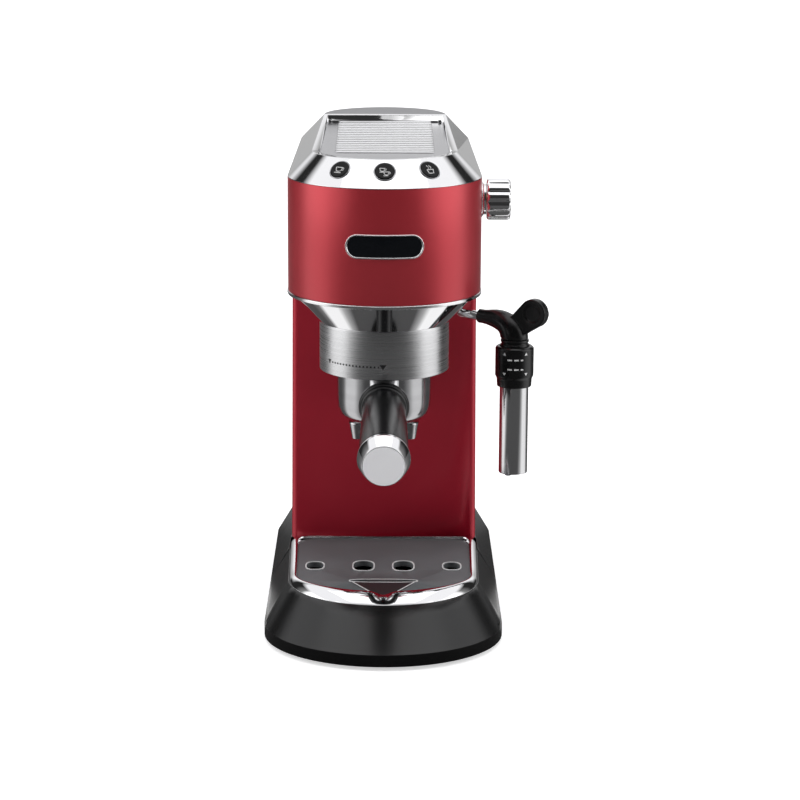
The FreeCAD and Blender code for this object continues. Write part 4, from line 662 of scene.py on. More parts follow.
# ---------------------------------------------------------------- sub-assemblies
@dataclass
class CarriedNodes:
    """CAD nodes whose shape is already right: inner parts, and sheets that only need a finish."""

    smooth: dict[str, str] = field(default_factory=lambda: {
        "top_cap": "cap", "drip_tray_bowl": "drip_tray_bowl_shell",
        "drip_grid": "cup_grid_plate", "base_housing": "base_housing_shell",
        "tank_cradle": "tank_cradle_shell", "column_panel": "column_sheet",
        "rear_panel": "rear_panel_sheet", "head_floor": "head_floor_sheet",
        "double_spout": "twin_spout", "portafilter_bowl": "filter_holder_bowl",
        "filter_basket": "filter_basket_cup", "steam_pipe": "steam_pipe_bend",
        "tank_shell": "tank_body", "tank_lid": "tank_lid_shell", "switch_rocker": "rocker_key",
        "switch_frame": "rocker_frame", "group_head": "group_head_casting",
        "shower_screen": "shower_screen_sheet", "rubber_feet": "feet", "base_plate": "base_plate_sheet",
    })

    special: dict[str, Finish] = field(default_factory=lambda: {
        "portafilter_bowl": BOWL_STEEL, "double_spout": BOWL_STEEL})

    def build(self) -> None:
        """Smooths the visible nodes and gives every other one its finish."""
        slots = {row["node"]: row["material_slot"] for row in frame["record"]["subparts"]}
        bodies = {n: b for b, nodes in frame["record"]["behaviour"]["bodies"].items() for n in nodes}
        for node, obj in frame["nodes"].items():
            slot = slots[node]
            if node in self.smooth:
                piece = Piece(self.smooth[node], bodies[node], slot, self.special.get(node), (node,),
                              math.radians(28))
                piece.dress(Shape.copied(node))
                continue
            obj.data.materials.clear()
            obj.data.materials.append(FINISHES[slot].material())
            for face in obj.data.polygons:
                face.material_index = 0


@dataclass
class TrayRim:
    """The drip tray's chromed rim, with a thumb dip at its front."""

    side_half: float = 62.0 * MM
    narrow: float = 1.6 * MM
    front_y: float = -74.7 * MM
    front_depth: float = 56.0 * MM
    rear_y: float = 13.7 * MM
    corner: float = 11.0 * MM
    dip: float = 2.4 * MM
    dip_half: float = 5.0 * MM
    bevel_from: float = 60.0 * MM
    flat_z: float = 31.2
    corner_steps: int = 8
    back_steps: int = 12
    section: tuple[tuple[float, float, float, float], ...] = (
        (0.2, 0.2, 30.1, 30.1), (0.45, 0.9, 30.8, 31.0), (0.9, 2.4, 31.5, 32.3), (1.5, 4.2, 32.2, 33.6),
        (2.3, 6.4, 32.7, 34.9), (3.1, 8.4, 33.05, 35.7), (3.8, 10.0, 33.2, 36.1), (4.5, 11.2, 33.2, 36.2),
        (5.0, 12.2, 33.0, 35.8), (5.35, 13.0, 32.6, 34.9), (5.5, 13.5, 32.0, 33.6), (5.5, 13.7, 30.45, 30.45),
        (7.4, 15.7, 30.45, 30.45), (7.4, 15.7, 30.05, 30.05))

    def plan(self, side: float, front: float) -> list[Point]:
        """The rim's closed plan, moved in by its own amounts at the sides and at the front."""
        half_front, half_rear = self.side_half - self.narrow - side, self.side_half - side
        rear, round_r = self.rear_y - side / 2, max(1.0 * MM, self.corner - side)
        points = racetrack(half_front, self.front_y, half_rear, rear - round_r, 120,
                           self.front_depth - front)
        turns = [math.radians(90) * i / self.corner_steps for i in range(1, self.corner_steps + 1)]
        corner_left = [(round_r * (1 - math.cos(turn)) - half_rear, rear - round_r * (1 - math.sin(turn)))
                       for turn in turns]
        corner_right = [(-x, y) for x, y in reversed(corner_left)]
        back = [((half_rear - round_r) * (-1 + 2 * i / self.back_steps), rear)
                for i in range(1, self.back_steps)]
        return points + corner_left + back + corner_right

    def build(self) -> None:
        """Builds the rim and the dark mark in its dip."""
        rows = []
        top = max(high for *_, high in self.section)
        for side, front, z_side, z_front in self.section:
            row = []
            for x, y in self.plan(side * MM, front * MM):
                share = min(1.0, max(0.0, (-self.bevel_from - y) / self.bevel_from))
                share = share * share * (3 - 2 * share)
                z = z_side + (z_front - z_side) * share
                scoop = math.exp(-(x / self.dip_half) ** 2) * share
                scoop *= max(0.0, (z - self.flat_z) / (top - self.flat_z))
                row.append(Vector((x, y, z * MM - self.dip * scoop)))
            rows.append(row)
        Piece("tray_rim_ring", "drip_tray", "chrome_trim", replaces=("drip_tray_rim",),
              smooth_angle=math.radians(50)).dress(Shape.skinned(rows, close_columns=True))
        front_y = self.front_y - self.front_depth
        corners = [(2.4, 10.6, 33.45), (-2.4, 10.6, 33.45), (-1.5, 5.8, 32.95), (1.5, 5.8, 32.95)]
        outline = [Vector((x * MM, front_y + y * MM, z * MM)) for x, y, z in corners]
        Piece("rim_dip_mark", "drip_tray", "black_rubber", MARK_DARK).dress(
            Shape.slab(outline, Axis.Z.value * 0.12 * MM))


@dataclass
class GridTrim:
    """Bright bands of painted highlight round the cup grid's slots, and its shallow front chute with painted shade
    on its face.
    """

    band: float = 0.9 * MM
    lift: float = 0.22 * MM
    rounds: tuple[tuple[float, float, float, float], ...] = (
        (-44.0, -51.6, 5.4, 8.1), (-12.8, -51.6, 6.4, 10.6),
        (12.8, -51.6, 6.4, 10.6), (44.0, -51.6, 5.4, 8.1))
    slot: tuple[float, float, float, float] = (0.0, -84.0, 21.0, 2.9)
    chute_foot: Point = (2.6 * MM, -117.6 * MM)
    chute_head: float = 19.5 * MM

    def ring(self, x: float, y: float, half_x: float, half_y: float, top: float) -> bpy.types.Mesh:
        """A raised oval band around a slot.

        Args:
            x: the slot's middle across, in millimetres.
            y: the slot's middle in depth, in millimetres.
            half_x: the slot's half width, in millimetres.
            half_y: the slot's half depth, in millimetres.
            top: height of the grid's face, in metres.

        Returns:
            The band's mesh.
        """
        section = [(0.0, -0.3 * MM), (self.band, -0.3 * MM), (self.band, self.lift * 0.4),
                   (self.band * 0.6, self.lift), (self.band * 0.2, self.lift)]
        rows = []
        for i in range(48):
            angle = 2 * math.pi * i / 48
            cos, sin = math.cos(angle), math.sin(angle)
            rows.append([Vector(((x * MM + (half_x * MM + out) * math.copysign(abs(cos) ** 0.7, cos)),
                                 (y * MM + (half_y * MM + out) * math.copysign(abs(sin) ** 0.7, sin)),
                                 top + up)) for out, up in section])
        return Shape.grid(rows, close_columns=True)

    def build(self) -> None:
        """Builds the bands and the chute's two edges."""
        top = Span.of("drip_grid").high.z
        parts = [self.ring(*place, top) for place in self.rounds + (self.slot,)]
        foot_x, foot_y = self.chute_foot
        head_y = (self.slot[1] - self.slot[3]) * MM
        for side in (-1.0, 1.0):
            head, foot = Vector((side * self.chute_head, head_y, top)), Vector((side * foot_x, foot_y, top))
            across = Axis.Z.value.cross((foot - head).normalized()) * self.band * 0.45
            parts.append(Shape.slab([head + across, foot + across, foot - across, head - across],
                                    Axis.Z.value * self.lift))
        # light bands where the slots' walls catch light: painted highlight
        Piece("grid_bright_edges", "grid", "chrome_trim", MARK_LIGHT).dress(Shape.joined(parts))
        # a dark sheet over the chute where it lies in shade: painted shade
        hollow = [Vector((x, y, top)) for x, y in (
            (-self.chute_head, head_y), (-foot_x, foot_y), (foot_x, foot_y), (self.chute_head, head_y))]
        Piece("grid_chute_face", "grid", "black_base", MARK_DARK).dress(
            Shape.slab(hollow, Axis.Z.value * self.lift * 0.3))


@dataclass
class Head:
    """The red head sheet, its chromed rim, the funnel and the badge."""

    sheet: float = 1.2 * MM
    edge: float = 0.5 * MM
    seam_rise: float = 7.6 * MM
    narrowing: float = 4.6 * MM
    seam_end_y: float = 109.0 * MM
    funnel_top_r: float = 58.0 * MM
    funnel_wall: float = 1.6 * MM
    funnel_steps: int = 160
    border: float = 1.7 * MM

    def __post_init__(self) -> None:
        """Reads the head's own sizes from the frame."""
        shell = Span.of("head_shell")
        self.radius = shell.high.x
        self.front_y = shell.low.y + self.radius
        self.rear_y = shell.high.y
        self.z0 = shell.low.z
        self.z1 = Span.of("top_cap").low.z
        self.slope = self.seam_rise / (self.seam_end_y - self.front_y)
        self.taper = self.narrowing / (self.seam_end_y - self.front_y)

    def seam(self, y: float) -> float:
        """Height of the head's top edge at depth y."""
        return self.z1 + max(0.0, y - self.front_y) * self.slope

    def plan(self, inset: float, steps: int = 72) -> list[Point]:
        """The head's plan, moved in by inset."""
        rear = self.radius - (self.rear_y - self.front_y) * self.taper - inset
        return racetrack(self.radius - inset, self.front_y, rear, self.rear_y, steps)

    def shell(self) -> None:
        """The red sheet with eased edges."""
        e, t = self.edge, self.sheet
        section = [(e, 0.0, 0), (0.3 * e, 0.3 * e, 0), (0.0, e, 0), (0.0, -e, 1), (0.3 * e, -0.3 * e, 1),
                   (e, 0.0, 1), (t, 0.0, 1), (t, 0.0, 0)]
        rows = []
        for inset, lift, at_top in section:
            row = []
            for x, y in self.plan(inset):
                z = self.seam(y) - 0.1 * MM if at_top else self.z0
                row.append(Vector((x, y, z + lift)))
            rows.append(row)
        Piece("head_sheet", "root", "red_head", replaces=("head_shell",)).dress(
            Shape.skinned(rows, cap=True))

    def rim(self) -> None:
        """The chromed ring along the head's lower edge."""
        span = Span.of("head_rim")
        z0, z1 = span.low.z, span.high.z
        section = [(-0.5, 0.5), (-0.35, 0.15), (0.0, 0.0), (1.8, 0.0), (2.0, 0.4), (2.0, 2.2), (-0.1, 2.2),
                   (-0.4, 1.9)]
        rows = []
        for inset, lift in section:
            rows.append([Vector((x, y, z0 + min(lift * MM, z1 - z0))) for x, y in self.plan(inset * MM)])
        Piece("head_rim_ring", "root", "chrome_trim", replaces=("head_rim",)).dress(
            Shape.skinned(rows, cap=True))

    def funnel(self) -> None:
        """The chromed funnel between the head and the brewing group."""
        group = Span.of("group_collar")
        low_r = group.size.x / 2 + 0.5 * MM
        low = Vector((0.0, group.centre.y, group.high.z + 0.1 * MM))
        high = Vector((0.0, self.front_y, Span.of("group_funnel").high.z))
        column_y = Span.of("column_panel").low.y
        section = [(0.0, 0.0), (1.0, 0.0), (1.0, self.funnel_wall), (0.0, self.funnel_wall)]
        rows = []
        for i in range(self.funnel_steps):
            angle = 2 * math.pi * i / self.funnel_steps
            side = Vector((math.cos(angle), math.sin(angle), 0.0))
            row = []
            for t, inset in section:
                r = low_r + (self.funnel_top_r - low_r) * t - inset
                p = low.lerp(high, t) + side * r
                p.y = min(p.y, column_y - 0.4 * MM)
                row.append(p)
            rows.append(row)
        mesh = Shape.grid(rows, close_columns=True)
        Piece("funnel_cone", "root", "chrome_trim", replaces=("group_funnel",),
              smooth_angle=math.radians(50)).dress(mesh)

    def pill(self, half_w: float, half_h: float, steps: int = 20) -> list[Point]:
        """A pill outline seen from the front."""
        out = []
        reach = half_w - half_h
        for side, first in ((1, -90.0), (-1, 90.0)):
            for i in range(steps + 1):
                angle = math.radians(first + 180.0 * i / steps)
                out.append((side * reach + half_h * math.cos(angle), half_h * math.sin(angle)))
            run = 10
            for i in range(1, run):
                t = i / run
                out.append((side * reach * (1 - 2 * t), side * half_h))
        return out

    def on_head(self, x: float, z: float, lift: float) -> Vector:
        """A point on the head's round front, x along the surface and lift above it."""
        angle = x / self.radius
        r = self.radius + lift
        return Vector((r * math.sin(angle), self.front_y - r * math.cos(angle), z))

    def badge(self) -> None:
        """A blank raised badge: black enamel in a rounded chromed border."""
        span = Span.of("badge_border")
        half_w, half_h, z = span.size.x / 2 + 0.7 * MM, span.size.z / 2, span.centre.z
        band = self.border
        section = [(0.0, -0.2), (0.0, 0.5), (0.25, 1.1), (0.6, 1.45), (1.1, 1.45), (1.45, 1.1), (1.7, 0.5),
                   (1.7, -0.2)]
        rows = []
        for inset, lift in section:
            ring = self.pill(half_w - inset * MM, half_h - inset * MM)
            rows.append([self.on_head(x, z + h, lift * MM) for x, h in ring])
        mesh = Shape.grid(rows, close_columns=True)
        Piece("badge_frame", "root", "chrome_trim", replaces=("badge_border",)).dress(mesh)
        rows = []
        for share in (1.0, 0.8, 0.55, 0.3, 0.1):
            lift = 0.55 + 0.35 * (1.0 - share)
            ring = self.pill((half_w - band) * share + 0.001 * MM, (half_h - band) * share)
            rows.append([self.on_head(x, z + h, lift * MM) for x, h in ring])
        under = [self.on_head(x, z + h, -0.1 * MM) for x, h in self.pill(half_w - band, half_h - band)]
        mesh = Shape.grid([under] + rows, cap=True)
        Piece("badge_field", "root", "badge_enamel", replaces=("badge_plate",)).dress(mesh)

    def build(self) -> None:
        """Builds the head."""
        self.shell()
        self.rim()
        self.funnel()
        self.badge()


@dataclass
class Controls:
    """Push buttons with their bezels and icons, the ribbed cup plate, and the steam knob."""

    bodies: dict[str, str] = field(default_factory=lambda: {
        "button_one_cup": "one_cup_button", "button_two_cups": "two_cups_button",
        "button_steam": "steam_button"})
    button_r: float = 5.95 * MM
    button_half: float = 2.75 * MM
    bezel_r: float = 7.0 * MM
    stroke: float = 0.55 * MM
    icon_sink: float = 0.22 * MM
    icon_rise: float = 0.12 * MM
    rib_count: int = 18
    rib_half: float = 31.8 * MM
    plate_rise: float = 7.6 / 131.7
    plate_sheet: float = 1.0 * MM
    flutes: int = 12

    def face(self, node: str) -> tuple[Vector, Matrix]:
        """Centre and turn of a button's face; the turn's columns are across, up and outwards."""
        joint = next(j for j in frame["joints"] if j["child"] == self.bodies[node])
        out = -Vector(joint["axis"]).normalized()
        across = Axis.Z.value.cross(out).normalized()
        top = Span.of(node).centre + out * self.button_half
        return top, Matrix((across, out.cross(across), out)).transposed()

    def ribbon(self, points: Sequence[Point], closed: bool = False) -> list[list[Point]]:
        """A drawn line as short flat quads."""
        quads = []
        pairs = list(zip(points, points[1:]))
        if closed:
            pairs.append((points[-1], points[0]))
        for a, b in pairs:
            start, end = Vector(a), Vector(b)
            along = (end - start).normalized() * self.stroke / 2
            side = Vector((-along.y, along.x))
            start, end = start - along * 0.6, end + along * 0.6
            quads.append([tuple(start + side), tuple(end + side), tuple(end - side), tuple(start - side)])
        return quads

    def cup(self, x: float, y: float, size: float) -> list[list[Point]]:
        """A cup seen from the side, with its handle."""
        bowl = [(x - size, y + size * 0.5)]
        for i in range(9):
            angle = math.pi + math.pi * i / 8
            bowl.append((x + size * 0.85 * math.cos(angle), y + size * 0.9 * math.sin(angle) + size * 0.1))
        bowl.append((x + size, y + size * 0.5))
        handle = []
        for i in range(7):
            angle = -math.pi / 2 + math.pi * i / 6
            handle.append((x + size * (0.95 + 0.42 * math.cos(angle)), y + size * 0.38 * math.sin(angle)))
        saucer = [(x - size * 0.9, y - size * 1.15), (x + size * 0.9, y - size * 1.15)]
        return self.ribbon(bowl, closed=True) + self.ribbon(handle) + self.ribbon(saucer)

    def steam(self) -> list[list[Point]]:
        """A jug with a wisp of steam above it."""
        jug = [(-2.2 * MM, 0.1 * MM), (-1.6 * MM, -2.7 * MM), (1.6 * MM, -2.7 * MM), (2.2 * MM, 0.1 * MM)]
        wisps = []
        for x in (-0.9 * MM, 0.8 * MM):
            wisp = [(x + 0.45 * MM * math.sin(i * 1.1), 1.0 * MM + i * 0.46 * MM) for i in range(6)]
            wisps += self.ribbon(wisp)
        return self.ribbon(jug, closed=True) + wisps

    def icon(self, node: str) -> list[list[Point]]:
        """The drawn lines of a button's icon."""
        if node == "button_one_cup":
            return self.cup(-0.4 * MM, 0.3 * MM, 2.4 * MM)
        if node == "button_two_cups":
            return self.cup(-1.5 * MM, 1.3 * MM, 1.75 * MM) + self.cup(1.0 * MM, -1.4 * MM, 1.75 * MM)
        return self.steam()

    def button(self, node: str) -> None:
        """A dished black button and its icon."""
        top, turn = self.face(node)
        r = self.button_r / MM
        profile = [(0.0, -0.25), (r * 0.5, -0.18), (r * 0.85, -0.02), (r - 0.5, 0.0), (r - 0.15, -0.12),
                   (r, -0.5), (r, -4.6), (0.0, -4.6)]
        Piece(node + "_cap", self.bodies[node], "black_button", replaces=(node,)).dress(
            Shape.turned([(x * MM, h * MM) for x, h in profile], top, turn))
        faces = []
        for quad in self.icon(node):
            outline = [top + turn @ Vector((x, y, -self.icon_sink)) for x, y in quad]
            faces.append(Shape.slab(outline, turn @ Vector((0.0, 0.0, self.icon_rise))))
        Piece(node + "_icon", self.bodies[node], "satin_disc", MARK_LIGHT).dress(Shape.joined(faces))

    def bezels(self) -> None:
        """The three chromed rings around the buttons."""
        rings = []
        inner, outer = self.button_r / MM + 0.2, self.bezel_r / MM
        section = [(inner, -3.5), (outer - 0.6, -3.5), (outer - 0.6, -1.2), (outer, -1.2), (outer, -0.75),
                   (outer - 0.35, -0.35), (inner + 0.2, -0.3), (inner, -0.5)]
        for node in self.bodies:
            top, turn = self.face(node)
            rings.append(Shape.lathe(section, 0.15, 2, top, turn))
        Piece("bezel_rings", "root", "chrome_trim", RING_STEEL, ("button_bezels",)).dress(Shape.joined(rings))

    def cup_plate(self) -> None:
        """The steel plate that cups are warmed on, with its ribs, a dark strip of painted shadow behind them and
        two chrome blocks that stand for reflections.
        """
        span = Span.of("cup_warmer_plate")
        half, front_y = span.high.x, span.low.y + span.high.x
        rear_half = half - 3.0 * MM
        rise = self.plate_rise

        def height(y: float, lift: float) -> float:
            return span.low.z + self.plate_sheet + lift + (y - span.low.y) * rise

        rows = []
        for inset, lift in ((0.0, -0.9), (0.0, -0.25), (0.25, 0.0), (8.0, 0.0)):
            plan = racetrack(half - inset * MM, front_y, rear_half - inset * MM, span.high.y - inset * MM)
            rows.append([Vector((x, y, height(y, lift * MM))) for x, y in plan])
        Piece("cup_plate_sheet", "root", "steel_sheet", PLATE_SHADED, ("cup_warmer_plate",)).dress(
            Shape.grid(rows, cap=True))
        self.ribs(height)

        def bar(x0: float, x1: float, y0: float, y1: float, low: float, high: float) -> bpy.types.Mesh:
            ring = [(x0, y0), (x1, y0), (x1, y1), (x0, y1)]
            return Shape.grid([[Vector((x, y, height(y, lift))) for x, y in ring] for lift in (low, high)],
                              cap=True)

        # a dark strip painted where the recess's rear wall throws shadow behind the ribs
        y1 = span.high.y - 0.6 * MM
        slot = bar(-36 * MM, 36 * MM, y1 - 4.4 * MM, y1, 0.0, 0.5 * MM)
        Piece("plate_rear_slot", "root", "black_base", MARK_DARK).dress(slot)
        # two chrome blocks standing for the bright reflection in the recess's rear corners: painted reflection
        blocks = [bar(s * 37.2 * MM - 1.1 * MM, s * 37.2 * MM + 1.1 * MM, y1 - 5.0 * MM, y1, 0.0, 1.8 * MM)
                  for s in (-1, 1)]
        Piece("plate_end_blocks", "root", "chrome_trim").dress(Shape.joined(blocks))

    def ribs(self, height: Callable[[float, float], float]) -> None:
        """Sets the plate's soft ribs in a row.

        Args:
            height: gives the plate's height at a depth, raised by a lift.
        """
        wide, tall, long = 2.2 * MM, 0.8 * MM, self.rib_half
        section = []
        for i in range(13):
            angle = math.pi * i / 12
            section.append((-wide * math.cos(angle), tall * math.sin(angle) ** 0.9 - 0.05 * MM))
        stations = [(-long, 0.02), (-long + 0.5 * MM, 0.6), (-long + 1.6 * MM, 0.94), (-long + 3 * MM, 1.0),
                    (long - 3 * MM, 1.0), (long - 1.6 * MM, 0.94), (long - 0.5 * MM, 0.6), (long, 0.02)]
        rows = [[Vector((x, y * share ** 0.3, z * share)) for y, z in section] for x, share in stations]
        rib = Shape.grid(rows, cap=True)
        first, pitch = -9.0 * MM, 6.4 * MM
        values = {"Count": self.rib_count, "Start X": 0.0, "Start Y": first, "Start Z": height(first, 0.0),
                  "Step X": 0.0, "Step Y": pitch, "Step Z": height(pitch, 0.0) - height(0.0, 0.0)}
        Piece("cup_plate_ribs", "root", "steel_sheet", PLATE_HIGHLIGHTED, smooth_angle=math.radians(75)).dress(
            Repeat.run(Repeat.line_tree(), rib, PLATE_HIGHLIGHTED, values))

    def knob(self) -> None:
        """A fluted chromed knob with a softly domed end."""
        span = Span.of("steam_knob")
        centre = Vector((0.0, span.centre.y, span.centre.z))
        radius, length = span.size.y / 2, span.size.x
        x0 = span.low.x
        end = length / MM
        stations = [(0.0, 0.90, 0.0), (0.25, 0.955, 0.15), (0.9, 0.99, 0.6), (1.8, 1.0, 1.0),
                    (end - 2.2, 1.0, 1.0), (end - 1.1, 0.985, 0.9), (end - 0.45, 0.95, 0.55),
                    (end - 0.1, 0.90, 0.2), (end, 0.82, 0.0), (end, 0.55, 0.0), (end - 0.15, 0.3, 0.0),
                    (end - 0.2, 0.06, 0.0)]
        rows = []
        around = 192
        for along, share, depth in stations:
            row = []
            for i in range(around):
                angle = 2 * math.pi * i / around
                wave = (0.5 + 0.5 * math.cos(self.flutes * angle)) ** 2.2
                r = radius * share - 1.25 * MM * depth * wave
                row.append(centre + Vector((x0 + along * MM, r * math.cos(angle), r * math.sin(angle))))
            rows.append(row)
        Piece("fluted_knob", "knob", "chrome_trim", replaces=("steam_knob",),
              smooth_angle=math.radians(60)).dress(Shape.grid(rows, cap=True))
        collar = Span.of("knob_collar")
        r, end = collar.size.y / 2 / MM, collar.size.x / MM
        lay = Matrix(((0, 0, 1), (0, 1, 0), (-1, 0, 0)))
        section = [(3.06, 0.0), (9.0, 0.0), (9.0, 6.9), (r, 6.9), (r, 8.8), (r - 1.6, 9.6), (r - 1.6, end),
                   (3.06, end)]
        base = Vector((collar.low.x, centre.y, centre.z))
        Piece("knob_collar_ring", "root", "chrome_trim", replaces=("knob_collar",)).dress(
            Shape.lathe(section, 0.3, 3, base, lay))

    def build(self) -> None:
        """Builds the controls."""
        for node in self.bodies:
            self.button(node)
        self.bezels()
        self.cup_plate()
        self.knob()


@dataclass
class Group:
    """The brewing group's brushed collar with its bayonet marks."""

    mark_lift: float = 0.06 * MM
    dot_count: int = 15
    insert_angle: float = 60.0

    def __post_init__(self) -> None:
        """Reads the collar's sizes from the frame."""
        span = Span.of("group_collar")
        self.axis = Vector((0.0, span.centre.y, 0.0))
        self.radius = span.size.x / 2
        self.z0, self.z1 = span.low.z, span.high.z

    def collar(self) -> None:
        """The brushed collar: a deep ring with a turned-in lip."""
        r, tall, wall, lip = self.radius / MM, (self.z1 - self.z0) / MM, 1.2, 34.4
        section = [(r - wall, wall), (r - wall, tall), (r, tall), (r, 0.0), (lip, 0.0), (lip, wall)]
        Piece("brushed_collar_ring", "root", "brushed_collar", replaces=("group_collar",)).dress(
            Shape.lathe(section, 0.7, 4, self.axis + Axis.Z.value * self.z0, segments=160))

    def on_collar(self, turn: float, z: float, lift: float) -> Vector:
        """A point on the collar; turn is in degrees from the front, positive to the right."""
        angle = math.radians(turn)
        r = self.radius + lift
        return self.axis + Vector((r * math.sin(angle), -r * math.cos(angle), z))

    def triangle(self, turn: float, half: float, height: float) -> bpy.types.Mesh:
        """A printed triangle that points down."""
        top = self.z0 + 10.2 * MM
        wide = math.degrees(half / self.radius)
        steps = 6
        outline = [(turn - wide + 2 * wide * i / steps, top) for i in range(steps + 1)]
        outline.append((turn, top - height))
        lower = [self.on_collar(a, z, -0.02 * MM) for a, z in outline]
        upper = [self.on_collar(a, z, self.mark_lift) for a, z in outline]
        return Shape.grid([lower, upper], cap=True)

    def marks(self) -> None:
        """Closed and insert marks, with a dotted line between them."""
        front = self.triangle(-1.0, 2.2 * MM, 3.3 * MM)
        side = self.triangle(-self.insert_angle + 4.0, 1.6 * MM, 3.0 * MM)
        z = self.z0 + 8.6 * MM
        half = 0.55 * MM
        low = self.radius - 0.02 * MM
        high = self.radius + self.mark_lift
        corners = [(half, half), (-half, half), (-half, -half), (half, -half)]
        dot = Shape.grid([[Vector((x, -low, h)) for x, h in corners],
                          [Vector((x, -high, h)) for x, h in corners]], cap=True)
        first, last = -self.insert_angle + 8.5, -5.0
        step = math.radians((last - first) / (self.dot_count - 1))
        dots = Repeat.run(Repeat.arc_tree(), dot, MARK_DARK, {
            "Count": self.dot_count, "First": math.radians(first), "Turn": step, "Height": z})
        dots.transform(Matrix.Translation(self.axis))
        Piece("collar_marks", "root", "black_button", MARK_DARK).dress(Shape.joined([front, side, dots]))

    def build(self) -> None:
        """Builds the collar and its marks."""
        self.collar()
        self.marks()


@dataclass
class FilterHolder:
    """Handle of the filter holder, on its own tilted axis."""

    length: float = 83.0 * MM
    tilt: float = 9.75
    start_y: float = -62.0 * MM
    start_z: float = 141.4 * MM

    def __post_init__(self) -> None:
        """Works out the handle's axis; local +Z runs out towards the user."""
        self.turn = Matrix.Rotation(math.radians(90 + self.tilt), 3, "X")
        self.base = Vector((0.0, self.start_y, self.start_z))

    def along(self, section: Sequence[Point], ease: float, steps: int = 4) -> bpy.types.Mesh:
        """Turns a section, in millimetres, about the handle's axis."""
        return Shape.lathe(section, ease, steps, self.base, self.turn, 128)

    def build(self) -> None:
        """Builds the grip, its chromed end ring and the satin disc."""
        n = self.length / MM
        waist = []
        for i in range(17):
            t = i / 16
            swell = 13.6 + 1.7 * t ** 1.4 + 0.25 * math.sin(math.pi * t)
            waist.append((swell, 8.6 + (n - 8.6) * t))
        grip = [(0.0, 1.6), (13.4, 1.6), (15.4, 2.2), (16.0, 3.4), (16.0, 5.6), (15.5, 6.8), (14.2, 7.6)]
        grip += waist + [(0.0, n)]
        Piece("handle_grip", "portafilter", "black_grip", replaces=("portafilter_handle",)).dress(
            self.along(grip, 0.5))
        ring = [(0.0, n + 0.1), (15.6, n + 0.1), (16.2, n + 0.8), (16.2, n + 2.8), (13.0, n + 12.4),
                (12.6, n + 12.4), (12.6, n + 11.6), (0.0, n + 11.6)]
        Piece("handle_end_band", "portafilter", "chrome_trim", replaces=("handle_end_ring",)).dress(
            self.along(ring, 0.25, 2))
        disc = [(0.0, n + 11.7), (12.5, n + 11.7), (12.5, n + 12.6), (11.9, n + 12.9), (0.0, n + 12.9)]
        Piece("handle_end_plate", "portafilter", "satin_disc", replaces=("handle_end_disc",)).dress(
            self.along(disc, 0.2, 2))


